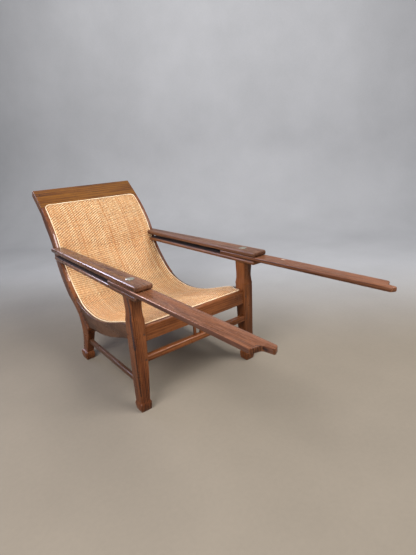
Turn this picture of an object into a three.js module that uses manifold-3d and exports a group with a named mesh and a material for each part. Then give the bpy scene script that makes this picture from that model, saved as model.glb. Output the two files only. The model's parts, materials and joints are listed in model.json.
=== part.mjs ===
// Planters chair: a teak reclining armchair with a woven cane seat and swinging leg rests.
// Units are millimetres. X runs across the chair, the chair faces -Y, and Z is up from the floor.
// The sizes below are laid out from the floor, midway between the front legs; at the end the
// whole chair is moved so that the origin is on the floor at the middle of its bounding box.

import * as THREE from 'three';
import { mergeVertices } from 'three/addons/utils/BufferGeometryUtils.js';
import Module from 'manifold-3d';

const wasm = await Module();
wasm.setup();

// Overall driving sizes
const LEG_SPACING = 600;            // front leg centres at the floor
const SEAT_REACH = 1068;            // front edge of the seat line to the top of the crest, along Y
const CREST_HEIGHT = 861;           // floor to the front of the crest's top edge
const ARM_HEIGHT = 517.4;           // floor to the top of the front legs, under the arms

// Clearances
const FIT = 0.3;                    // glued or pegged faces
const RUNNING = 1;                  // above and below a swinging board
const OVERRUN = 4;                  // how far a cutter passes a face
const MERGE_WITHIN = 0.0001;        // corners this close are one corner

// Front legs
const LEG_LEAN = 8;                 // the leg tops stand this much nearer the middle
const LEG_RAKE = 7;                 // and this much further forward
const LEG_WIDTH = 53;               // across X, at the top
const LEG_DEPTH = 60;               // along Y, at the top
const FOOT_HEIGHT = 38;
const LEG_CHAMFER = 3;

// Back legs, each one plank from the floor to the crest
const BACK_PLANK = 37;              // thickness across X
const BACK_FOOT_SPLAY = 10.5;       // outer face at the floor, outside the front legs' middle line
const BACK_TOP_INSET = 5.5;         // outer face at the crest, inside that line
const STILE_DEPTH = 62;             // across the plank's side outline
const BACK_FOOT_WIDTH = 49;
const BACK_FOOT_DEPTH = 66;
const BACK_FOOT_SHIFT = 4;          // the foot block stands this much ahead of the ankle
const PLANK_EASE = 2.4;

// Seat frame
const SIDE_RAIL_PROUD = 1;          // outer face, outside the front legs' middle line
const SIDE_RAIL_THICKNESS = 45;
const SIDE_RAIL_DEPTH = 67;
const FRONT_RAIL_THICKNESS = 30;
const FRONT_RAIL_SETBACK = 12;      // the front face stands this far before the seat line's start
const FRONT_RAIL_HEIGHT = 67;
const FRONT_RAIL_NOSE = 12;
const CREST_FACE = 139;             // crest board, along the seat line
const CREST_THICKNESS = 44;
const CREST_OVERHANG = 2.5;         // the crest's ends past the back legs' outer faces
const CREST_NOSE = 9;
const BACK_RAIL_HEIGHT = 55;
const BACK_RAIL_THICKNESS = 28;
const BACK_RAIL_DROP = 22;           // its middle, under the knee of the back legs
const BACK_RAIL_SETBACK = 43.5;      // its middle, behind the back legs' front edge

// Stretchers and slats
const STRETCHER_THICKNESS = 18;
const STRETCHER_HEIGHT = 23.5;
const FRONT_STRETCHER_THICKNESS = 26;
const FRONT_STRETCHER_HEIGHT = 26.5;
const FRONT_STRETCHER_SETBACK = 2;  // its front face, behind the front legs'
const FRONT_STRETCHER_BASE = 220;
const SIDE_STRETCHER_BASE = 102;
const SIDE_STRETCHER_INSET = 8;     // its middle, inside the front legs' middle line
const STRETCHER_EASE = 2.5;
const SLAT_WIDTH = 11;
const SLAT_GAP = 22;
const SLAT_THICKNESS = 10;
const SLAT_INSET = 8;               // slats' middle, ahead of the front stretcher's back face

// Joints
const TENON_THICKNESS = 12;
const TENON_LENGTH = 28;
const FRONT_TENON_SETBACK = 8;      // front rail tenon's front face, ahead of the seat line's start
const SIDE_TENON_INSET = 16;        // middle of the side rail's tenons, from its outer face
const SIDE_TENON_LENGTH = 16;       // shorter at the front leg, where it meets the front rail's tenon
const RAIL_TENON_HEIGHT = 45;
const SCARF_NIB = 5;                // blunt end of the side rail under the cane
const SCARF_TENON_HALF = 28;
const SCARF_TENON_DEPTH = 26;
const STRETCHER_TENON = 10;
const STRETCHER_TENON_HEIGHT = 14;
const STRETCHER_TENON_LENGTH = 24;
const CREST_TENON_WIDTH = 25;
const CREST_TENON_LENGTH = 30;
const SLAT_TENON = 8;
const LEG_TENON = 12;               // stub on the front leg's top, in the lower board
const LEG_TENON_HEIGHT = 10;
const LEG_TENON_BACK = 18;          // its middle, behind the pivot
const ARM_TENON_WIDTH = 12;         // lower board's stub in the back leg, outside the reed
const ARM_TENON_LENGTH = 28;
const ARM_TENON_SHOULDER = 3;
const PEG_RADIUS = 4;
const PEG_PROUD = 0.6;
const PEG_INSET = 9;                // from a shoulder to the middle of its peg
const PEG_PAST = 2;                 // how far a peg goes past its tenon

// Arms and leg rests; the arm frame's origin is on the leg top, on the pivot's axis
const PIVOT_INSET = 1;              // the pivot, inside the middle of the leg's top
const PIVOT_Y = -8;
const ARM_TILT = THREE.MathUtils.degToRad(0.65);
const LOWER_BOARD = 17.5;
const LEG_REST_BOARD = 17;
const UPPER_BOARD = 22;
const ARM_SEAT_GAP = 0.6;           // leg top to lower board, room for the tilt
const ARM_FRONT = 110;              // arm's front end, ahead of the pivot
const ARM_PAST_STILE = 36;          // arm's back end, behind the back leg's front face
const ARM_FRONT_OUTER = 41;         // outer edge from the pivot, at the front
const ARM_FRONT_INNER = 37;
const ARM_BACK_OUTER = 29;
const ARM_BACK_INNER = 33;
const ARM_CORNER = 13;
const ARM_BACK_CORNER = 10;
const LOWER_BOARD_SETBACK = 7;      // the lower board stops this far short at the front
const BOARD_EASE = 7;
const REST_EASE = 2.5;
const REST_TAIL = 130;              // behind the pivot
const REST_TAIL_OUTER = 39;
const REST_TAIL_INNER = 34;
const REST_LENGTH = 681;            // pivot to the end of the broad part
const REST_END_OUTER = 38.5;
const REST_END_INNER = 23;
const TONGUE_LENGTH = 47;           // how far the tongue runs past the broad part
const TONGUE_ROOT = 28;             // tongue's width at the notch
const TONGUE_TIP = 22;
const NOTCH_SLANT = 9;
const TIP_SLANT = 11;
const REST_CORNER = 8;
const PIN_RADIUS = 6;
const PIN_HEAD_RADIUS = 17.5;
const PIN_HEAD_HEIGHT = 2.4;
const PIN_DEPTH = 70;               // how far the pin goes into the leg
const PIN_POINT = 2;                // bevel at the pin's end

// Cane seat
const CANE_THICKNESS = 2.4;
const REED_WIDTH = 5;
const REED_RISE = 2.7;
const GROOVE_DEPTH = 6;
const REED_FRONT_INSET = 4.5;       // reed centre from the seat line's start
const REED_CREST_INSET = 123.5;     // reed centre from the crest's top edge
const REED_INSET_SEAT = 15.5;       // reed centre from the side rail's outer face
const REED_INSET_BACK = 22.5;       // reed centre from the back leg's outer face
const REED_INSET_LEGS = 39;         // reed centre from the front legs' middle line, between them
const FRONT_TAPER_START = 55;       // along the seat line
const FRONT_TAPER_END = 81;
const FRONT_CORNER = 16;
const TOP_CORNER = 24;
const REED_ROUND = 1.2;

// Places across the chair, measured from its middle
const LEG_LINE = LEG_SPACING / 2;
const PIVOT_X = LEG_LINE - LEG_LEAN - PIVOT_INSET;
const BACK_FOOT_HALF = LEG_LINE + BACK_FOOT_SPLAY;
const BACK_TOP_HALF = LEG_LINE - BACK_TOP_INSET;
const SIDE_RAIL_OUTER = LEG_LINE + SIDE_RAIL_PROUD;
const SIDE_TENON_X = SIDE_RAIL_OUTER - SIDE_TENON_INSET;
const SIDE_STRETCHER_X = LEG_LINE - SIDE_STRETCHER_INSET;
const REED_FRONT_HALF = LEG_LINE - REED_INSET_LEGS;

// Facets
const SEAT_DIVISIONS = 60;
const REAR_DIVISIONS = 18;
const HEEL_DIVISIONS = 14;
const SHIN_DIVISIONS = 7;
const PIN_SIDES = 20;
const PEG_SIDES = 12;
const CORNER_DIVISIONS = 4;
const RAIL_DIVISIONS = 14;

// Side view of the seat: the face of the frame, from the front rail to the crest's top.
// Each pair is a share of SEAT_REACH along Y and a share of CREST_HEIGHT up from the floor.
const SEAT_LINE_SHARES = [
  [-0.014, 0.4413], [0.0939, 0.4206], [0.1869, 0.3840], [0.2907, 0.3455], [0.4074, 0.3253], [0.5240, 0.3386],
  [0.6091, 0.3870], [0.6832, 0.4739], [0.7445, 0.5805], [0.7693, 0.6674], [0.8068, 0.7552], [0.8751, 0.8609],
  [1, 1],
];
// Depth of the back leg below the seat line, at even steps from the side rail joint towards
// the crest: shares of STILE_DEPTH.
const STILE_DEPTH_SHARES = [1, 1, 1.02, 0.94, 0.86, 0.9, 0.94];
// Lower part of the back leg, the same kinds of share as the seat line.
// Each list runs up from the ankle.
const LEG_BACK_EDGE_SHARES = [
  [0.5760, 0.0987], [0.5650, 0.1510], [0.5622, 0.2093], [0.5784, 0.2695], [0.6180, 0.3208],
];
const LEG_FRONT_EDGE_SHARES = [[0.5336, 0.0691], [0.5135, 0.1274], [0.4924, 0.1826], [0.4796, 0.2340]];
const BACK_ANKLE_SHARES = [0.5403, 0.5910];
const SIDE_JOINT_SHARE = 0.5992;    // where the side rail's top meets the back leg, along Y
const RAIL_HEEL_SHARE = 0.4252;     // where its underside turns down to the knee

// Front leg outline: share of ARM_HEIGHT, then how far the inner, outer, front and back faces
// stand from the leg's middle line, the first two as shares of LEG_WIDTH, the others of LEG_DEPTH.
const LEG_SECTION_SHARES = [
  [0.093, 0.405, 0.425, 0.380, 0.445], [0.193, 0.453, 0.436, 0.390, 0.483], [0.290, 0.509, 0.443, 0.402, 0.500],
  [0.377, 0.547, 0.451, 0.412, 0.503], [0.474, 0.553, 0.458, 0.427, 0.503], [0.580, 0.560, 0.467, 0.450, 0.517],
  [0.765, 0.547, 0.481, 0.483, 0.550], [0.798, 0.547, 0.481, 0.483, 0.550], [0.806, 0.523, 0.462, 0.467, 0.528],
  [0.833, 0.483, 0.428, 0.450, 0.505], [0.866, 0.457, 0.409, 0.442, 0.500], [0.899, 0.462, 0.421, 0.450, 0.500],
  [0.939, 0.479, 0.451, 0.475, 0.505], [0.976, 0.487, 0.481, 0.492, 0.500], [1, 0.500, 0.500, 0.500, 0.500],
];
// Foot outline: share of FOOT_HEIGHT, then share of the foot's greatest width.
const FOOT_SECTION_SHARES = [[0, 0.86], [0.35, 0.97], [0.8, 1], [0.97, 0.97], [1.08, 0.88]];
const FRONT_FOOT_SHARE = 1;         // foot's greatest width, of LEG_WIDTH
// Pin head: share of its height, then share of its radius.
const PIN_HEAD_SHARES = [[0, 1], [0.33, 1], [0.8, 0.75], [1, 0.33]];

// Materials
const teak = new THREE.MeshStandardMaterial({ color: 0x7a4a2b, roughness: 0.45, metalness: 0 });
const wornTeak = new THREE.MeshStandardMaterial({ color: 0x7d5a45, roughness: 0.5, metalness: 0 });
const pegWood = new THREE.MeshStandardMaterial({ color: 0x4f2e1c, roughness: 0.55, metalness: 0 });
const caneSheet = new THREE.MeshStandardMaterial({ color: 0xd9a866, roughness: 0.6, metalness: 0 });
const reedStrip = new THREE.MeshStandardMaterial({ color: 0xe3bd85, roughness: 0.55, metalness: 0 });
const steel = new THREE.MeshStandardMaterial({ color: 0x9c9c8c, roughness: 0.4, metalness: 0.8 });

// Solids

function toSolid(geometry) {
  const bare = geometry.clone();
  bare.deleteAttribute('normal');
  bare.deleteAttribute('uv');
  const merged = mergeVertices(bare, MERGE_WITHIN);
  return new wasm.Manifold(new wasm.Mesh({
    numProp: 3,
    vertProperties: new Float32Array(merged.attributes.position.array),
    triVerts: new Uint32Array(merged.index.array),
  }));
}

function toGeometry(solid) {
  const mesh = solid.getMesh();
  const geometry = new THREE.BufferGeometry();
  geometry.setAttribute('position', new THREE.BufferAttribute(Float32Array.from(mesh.vertProperties), 3));
  geometry.setIndex(Array.from(mesh.triVerts));
  geometry.computeVertexNormals();
  return geometry;
}

function cut(body, ...tools) {
  return tools.reduce((rest, tool) => rest.subtract(tool), body);
}

function join(body, ...others) {
  return others.reduce((whole, other) => whole.add(other), body);
}

// A box from its low corner to its high corner, grown on every side.
function block(low, high, grow = 0) {
  const size = low.map((value, axis) => high[axis] - value + 2 * grow);
  const geometry = new THREE.BoxGeometry(...size);
  geometry.translate(...low.map((value, axis) => (value + high[axis]) / 2));
  return toSolid(geometry);
}

// A round rod between two points.
function rod(from, to, radius, sides = PEG_SIDES) {
  const start = new THREE.Vector3(...from);
  const span = new THREE.Vector3(...to).sub(start);
  const geometry = new THREE.CylinderGeometry(radius, radius, span.length(), sides);
  geometry.translate(0, span.length() / 2, 0);
  geometry.applyQuaternion(new THREE.Quaternion().setFromUnitVectors(
    new THREE.Vector3(0, 1, 0), span.clone().normalize()));
  geometry.translate(...start.toArray());
  return toSolid(geometry);
}

// A plank: an outline in the Y-Z plane, as wide as from x0 to x1, with eased edges.
function plank(outline, x0, x1, ease = 0) {
  const options = { depth: x1 - x0 - 2 * ease, steps: 1, bevelEnabled: ease > 0 };
  Object.assign(options, { bevelThickness: ease, bevelSize: ease, bevelOffset: -ease, bevelSegments: 1 });
  const geometry = new THREE.ExtrudeGeometry(new THREE.Shape(outline), options);
  geometry.translate(0, 0, x0 + ease);
  geometry.applyMatrix4(new THREE.Matrix4().makeBasis(
    new THREE.Vector3(0, 1, 0), new THREE.Vector3(0, 0, 1), new THREE.Vector3(1, 0, 0)));
  return toSolid(geometry);
}

// A board: an outline in the X-Y plane from z0 to z1, with rounded edges.
function board(shape, z0, z1, ease = 0, segments = 2) {
  const options = { depth: z1 - z0 - 2 * ease, steps: 1, curveSegments: 4, bevelEnabled: ease > 0 };
  Object.assign(options, { bevelThickness: ease, bevelSize: ease, bevelOffset: -ease, bevelSegments: segments });
  const geometry = new THREE.ExtrudeGeometry(shape, options);
  geometry.translate(0, 0, z0 + ease);
  return toSolid(geometry);
}

// An outline whose corners are rounded; each corner is [x, y, radius].
function roundedShape(corners) {
  const shape = new THREE.Shape();
  corners.forEach(([x, y, radius], i) => {
    const corner = new THREE.Vector2(x, y);
    const before = new THREE.Vector2(...corners.at(i - 1));
    const after = new THREE.Vector2(...corners[(i + 1) % corners.length]);
    const enter = corner.clone().add(before.sub(corner).setLength(radius));
    const leave = corner.clone().add(after.sub(corner).setLength(radius));
    if (i === 0) shape.moveTo(enter.x, enter.y);
    else shape.lineTo(enter.x, enter.y);
    if (radius > 0) shape.quadraticCurveTo(x, y, leave.x, leave.y);
  });
  shape.closePath();
  return shape;
}

// A closed skin over rings of points; ends are capped, or the last ring joins the first.
function skin(rings, closed = false) {
  const sides = rings[0].length;
  const positions = rings.flat().flatMap((point) => point.toArray());
  const index = [];
  const last = closed ? rings.length : rings.length - 1;
  for (let r = 0; r < last; r += 1) {
    const near = r * sides;
    const far = ((r + 1) % rings.length) * sides;
    for (let k = 0; k < sides; k += 1) {
      const next = (k + 1) % sides;
      index.push(near + k, near + next, far + next, near + k, far + next, far + k);
    }
  }
  if (!closed) {
    const top = (rings.length - 1) * sides;
    for (let k = 1; k < sides - 1; k += 1) {
      index.push(0, k + 1, k);
      index.push(top, top + k, top + k + 1);
    }
  }
  const geometry = new THREE.BufferGeometry();
  geometry.setAttribute('position', new THREE.Float32BufferAttribute(positions, 3));
  geometry.setIndex(index);
  return toSolid(geometry);
}

// A ring of eight points about a centre: a rectangle with its corners cut.
function ring(centre, across, up, halfAcross, halfUp, chamfer) {
  const corners = [[1, -1], [1, 1], [-1, 1], [-1, -1]];
  return corners.flatMap(([sideAcross, sideUp]) => {
    const corner = centre.clone()
      .addScaledVector(across, sideAcross * halfAcross)
      .addScaledVector(up, sideUp * halfUp);
    const cutAcross = corner.clone().addScaledVector(across, -sideAcross * chamfer);
    const cutUp = corner.clone().addScaledVector(up, -sideUp * chamfer);
    return sideAcross * sideUp < 0 ? [cutAcross, cutUp] : [cutUp, cutAcross];
  });
}

// A level ring of points on a circle.
function roundRing(z, radius, sides = PIN_SIDES) {
  return Array.from({ length: sides }, (_, k) => {
    const angle = 2 * Math.PI * k / sides;
    return new THREE.Vector3(radius * Math.cos(angle), radius * Math.sin(angle), z);
  });
}

// A straight bar with eased edges between two points on one axis.
function bar(from, to, across, up, thickness, height) {
  const ends = [from, to].map((end) => new THREE.Vector3(...end));
  return skin(ends.map((end) => ring(end, across, up, thickness / 2, height / 2, STRETCHER_EASE)));
}

// Offsets a counter-clockwise closed outline outwards.
function offsetLoop(points, distance) {
  return points.map((point, i) => {
    const arrive = point.clone().sub(points.at(i - 1)).normalize();
    const depart = points[(i + 1) % points.length].clone().sub(point).normalize();
    const outward = new THREE.Vector2(arrive.y + depart.y, -arrive.x - depart.x).normalize();
    const mitre = outward.x * arrive.y - outward.y * arrive.x;
    return point.clone().addScaledVector(outward, distance / mitre);
  });
}

function moved(solid, matrix) {
  const geometry = toGeometry(solid);
  geometry.applyMatrix4(matrix);
  if (matrix.determinant() < 0) {
    const index = Array.from(geometry.index.array);
    const flipped = index.map((_, i) => index[i - (i % 3) + 2 - (i % 3)]);
    geometry.setIndex(flipped);
  }
  return toSolid(geometry);
}

const MIRROR = new THREE.Matrix4().makeScale(-1, 1, 1);
const mirrored = (solid) => moved(solid, MIRROR);
const bothSides = (...tools) => tools.flatMap((tool) => [tool, mirrored(tool)]);

function stations(from, to, count) {
  return Array.from({ length: count + 1 }, (_, i) => from + (to - from) * i / count);
}

// Finds where a rising function passes a value, by halving.
function solve(rising, value, from, to) {
  let low = from;
  let high = to;
  for (let step = 0; step < 40; step += 1) {
    const middle = (low + high) / 2;
    if (rising(middle) < value) low = middle;
    else high = middle;
  }
  return low;
}

const sharePoint = ([y, z]) => new THREE.Vector2(y * SEAT_REACH, z * CREST_HEIGHT);
const X_AXIS = new THREE.Vector3(1, 0, 0);
const Y_AXIS = new THREE.Vector3(0, 1, 0);
const Z_AXIS = new THREE.Vector3(0, 0, 1);

// The seat line

const seatLine = new THREE.SplineCurve(SEAT_LINE_SHARES.map(sharePoint));
seatLine.arcLengthDivisions = 800;
const SEAT_LENGTH = seatLine.getLength();

// The place at a distance along the seat line, at x, and so far above the frame's face.
function onSeat(distance, x, above) {
  const share = THREE.MathUtils.clamp(distance / SEAT_LENGTH, 0, 1);
  const beyond = distance - share * SEAT_LENGTH;
  const place = seatLine.getPointAt(share);
  const run = seatLine.getTangentAt(share);
  return new THREE.Vector3(x, place.x + beyond * run.x - above * run.y, place.y + beyond * run.y + above * run.x);
}

function outlinePoint(distance, above = 0) {
  const point = onSeat(distance, 0, above);
  return new THREE.Vector2(point.y, point.z);
}

// Stations shared by the frame's face and the cane, so that both bend at the same places.
function seatStations(from, to) {
  const step = SEAT_LENGTH / SEAT_DIVISIONS;
  const inner = stations(0, SEAT_LENGTH, SEAT_DIVISIONS)
    .filter((at) => at > from + step / 4 && at < to - step / 4);
  return [from, ...inner, to];
}

const distanceAtY = (y) => solve((at) => onSeat(at, 0, 0).y, y, 0, SEAT_LENGTH);
const JOINT_AT = distanceAtY(SIDE_JOINT_SHARE * SEAT_REACH);
const distanceAtZ = (z) => solve((at) => onSeat(at, 0, 0).z, z, JOINT_AT, SEAT_LENGTH);
const CREST_AT = SEAT_LENGTH - CREST_FACE;

// Front legs

function legCentre(z) {
  const rise = z / ARM_HEIGHT;
  return new THREE.Vector3(LEG_LINE - LEG_LEAN * rise, -LEG_RAKE * rise, z);
}

function frontLegBody(grow = 0) {
  const foot = FOOT_SECTION_SHARES.map(([height, width]) => {
    const half = width * FRONT_FOOT_SHARE * LEG_WIDTH / 2 + grow;
    return ring(legCentre(height * FOOT_HEIGHT), X_AXIS, Y_AXIS, half, half, LEG_CHAMFER);
  });
  const shaft = LEG_SECTION_SHARES.map(([height, inner, outer, front, back]) => {
    const middle = legCentre(height * ARM_HEIGHT);
    middle.x += (outer - inner) * LEG_WIDTH / 2;
    middle.y += (back - front) * LEG_DEPTH / 2;
    const halfWidth = (inner + outer) * LEG_WIDTH / 2 + grow;
    const halfDepth = (front + back) * LEG_DEPTH / 2 + grow;
    return ring(middle, X_AXIS, Y_AXIS, halfWidth, halfDepth, LEG_CHAMFER);
  });
  return skin([...foot, ...shaft]);
}

// How far a face of the front leg stands from its middle line at a height.
function legFace(z, column) {
  const share = z / ARM_HEIGHT;
  const i = Math.max(1, LEG_SECTION_SHARES.findIndex((row) => row[0] >= share));
  const [below, above] = [LEG_SECTION_SHARES[i - 1], LEG_SECTION_SHARES[i]];
  const part = THREE.MathUtils.clamp((share - below[0]) / (above[0] - below[0]), 0, 1);
  return THREE.MathUtils.lerp(below[column], above[column], part) * (column < 3 ? LEG_WIDTH : LEG_DEPTH);
}

const legInnerX = (z) => legCentre(z).x - legFace(z, 1);
const legOuterX = (z) => legCentre(z).x + legFace(z, 2);
const legFrontY = (z) => legCentre(z).y - legFace(z, 3);
const legBackY = (z) => legCentre(z).y + legFace(z, 4);

// Back legs: each plank leans so that its outer face narrows towards the crest.

const BACK_SLOPE = (BACK_FOOT_HALF - BACK_TOP_HALF) / CREST_HEIGHT;
const backOuterX = (z) => BACK_FOOT_HALF - BACK_SLOPE * z;
const backMiddleX = (z) => backOuterX(z) - BACK_PLANK / 2;
const LEAN = new THREE.Matrix4().makeShear(0, 0, 0, 0, -BACK_SLOPE, 0);

const knee = sharePoint(LEG_FRONT_EDGE_SHARES.at(-1));
const nib = outlinePoint(JOINT_AT, -SCARF_NIB);
const scarfRun = nib.clone().sub(knee).normalize();
const scarfUp = new THREE.Vector2(-scarfRun.y, scarfRun.x);

// A point given along the scarf from the knee, and so far into the back leg.
function onScarf(along, depth) {
  return knee.clone().addScaledVector(scarfRun, along).addScaledVector(scarfUp, -depth);
}

const [ankleFront, ankleBack] = BACK_ANKLE_SHARES.map((y) => new THREE.Vector2(y * SEAT_REACH, FOOT_HEIGHT));
const shin = new THREE.SplineCurve([ankleFront, ...LEG_FRONT_EDGE_SHARES.map(sharePoint)]);
const shinY = (z) => shin.getPoint(solve((share) => shin.getPoint(share).y, z, 0, 1)).x;

const stileDepths = [...STILE_DEPTH_SHARES.map((share) => share * STILE_DEPTH), CREST_THICKNESS];
const stileDepthLine = new THREE.SplineCurve(stileDepths.map((depth, i) => new THREE.Vector2(i, depth)));

function backLegOutline() {
  const face = seatStations(JOINT_AT, CREST_AT).map((at) => outlinePoint(at));
  const rear = stations(JOINT_AT + STILE_DEPTH, CREST_AT, REAR_DIVISIONS).map((at) => {
    const share = (at - JOINT_AT) / (CREST_AT - JOINT_AT);
    return outlinePoint(at, -stileDepthLine.getPoint(share).y);
  });
  const heel = new THREE.SplineCurve([ankleBack, ...LEG_BACK_EDGE_SHARES.map(sharePoint), rear[0]]);
  return [
    ...heel.getPoints(HEEL_DIVISIONS).slice(0, -1), ...rear, ...face.reverse(), nib,
    ...shin.getPoints(SHIN_DIVISIONS).reverse(),
  ];
}

function backFoot() {
  const middleY = (BACK_ANKLE_SHARES[0] + BACK_ANKLE_SHARES[1]) / 2 * SEAT_REACH - BACK_FOOT_SHIFT;
  const middleX = BACK_FOOT_HALF - BACK_PLANK + BACK_FOOT_WIDTH / 2;
  return skin(FOOT_SECTION_SHARES.map(([height, width]) => ring(
    new THREE.Vector3(middleX, middleY, height * FOOT_HEIGHT),
    X_AXIS, Y_AXIS, width * BACK_FOOT_WIDTH / 2, width * BACK_FOOT_DEPTH / 2, LEG_CHAMFER)));
}

function backLegBody() {
  const blade = plank(backLegOutline(), BACK_FOOT_HALF - BACK_PLANK, BACK_FOOT_HALF, PLANK_EASE);
  return join(moved(blade, LEAN), backFoot());
}

// Room for the back leg, past its faces by the fit and, where asked, further in or out.
function backLegRoom(inward = FIT, outward = FIT) {
  const outline = offsetLoop(backLegOutline(), FIT);
  return moved(plank(outline, BACK_FOOT_HALF - BACK_PLANK - inward, BACK_FOOT_HALF + outward), LEAN);
}

// Places where joints meet

const SEAT_START = SEAT_LINE_SHARES[0][0] * SEAT_REACH;
const FRONT_RAIL_FRONT = SEAT_START - FRONT_RAIL_SETBACK;
const FRONT_RAIL_BACK = FRONT_RAIL_FRONT + FRONT_RAIL_THICKNESS;
const FRONT_TENON_FRONT = SEAT_START - FRONT_TENON_SETBACK;
const FRONT_RAIL_TOP = onSeat(0, 0, 0).z;
const FRONT_RAIL_BASE = FRONT_RAIL_TOP - FRONT_RAIL_HEIGHT;
const RAIL_TENON_Z = (FRONT_RAIL_TOP + FRONT_RAIL_BASE) / 2;
const FRONT_STRETCHER_Z = FRONT_STRETCHER_BASE + FRONT_STRETCHER_HEIGHT / 2;
const FRONT_STRETCHER_TOP = FRONT_STRETCHER_BASE + FRONT_STRETCHER_HEIGHT;
const FRONT_STRETCHER_Y = legFrontY(FRONT_STRETCHER_Z) + FRONT_STRETCHER_SETBACK + FRONT_STRETCHER_THICKNESS / 2;
const SLAT_Y = FRONT_STRETCHER_Y + FRONT_STRETCHER_THICKNESS / 2 - SLAT_INSET;
const SIDE_STRETCHER_Z = SIDE_STRETCHER_BASE + STRETCHER_HEIGHT / 2;
const BACK_RAIL_Z = knee.y - BACK_RAIL_DROP;
const BACK_RAIL_Y = shinY(BACK_RAIL_Z) + BACK_RAIL_SETBACK;
const BACK_RAIL_INNER = backOuterX(BACK_RAIL_Z) - BACK_PLANK;
const SCARF_MIDDLE = nib.distanceTo(knee) / 2;
const CREST_MIDDLE_X = backMiddleX(onSeat(CREST_AT, 0, 0).z);

// The arm frame sits on the leg's top and tilts down to the back.
const ARM_FRAME = new THREE.Matrix4().makeRotationX(-ARM_TILT)
  .setPosition(PIVOT_X, PIVOT_Y, ARM_HEIGHT + ARM_SEAT_GAP);
const TO_ARM = ARM_FRAME.clone().invert();
const SLOT_FLOOR = LOWER_BOARD + RUNNING;
const SLOT_TOP = SLOT_FLOOR + LEG_REST_BOARD + RUNNING;
const ARM_TOP = SLOT_TOP + UPPER_BOARD;

// The back leg's front face in the arm frame, at a height above the lower board's underside.
function stileFaceInArm(z) {
  const level = ARM_HEIGHT + ARM_SEAT_GAP + z;
  const reach = onSeat(distanceAtZ(level), 0, 0).y - PIVOT_Y;
  const height = level - reach * Math.sin(ARM_TILT);
  const face = onSeat(distanceAtZ(height), 0, 0);
  return { y: face.y - PIVOT_Y, outerX: backOuterX(height) - PIVOT_X };
}

const ARM_BACK = stileFaceInArm(SLOT_TOP).y + ARM_PAST_STILE;

// The strip of the back leg's face left bare between the reed and its outer edge.
const STILE_STRIP = REED_INSET_BACK - REED_WIDTH / 2;

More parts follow.
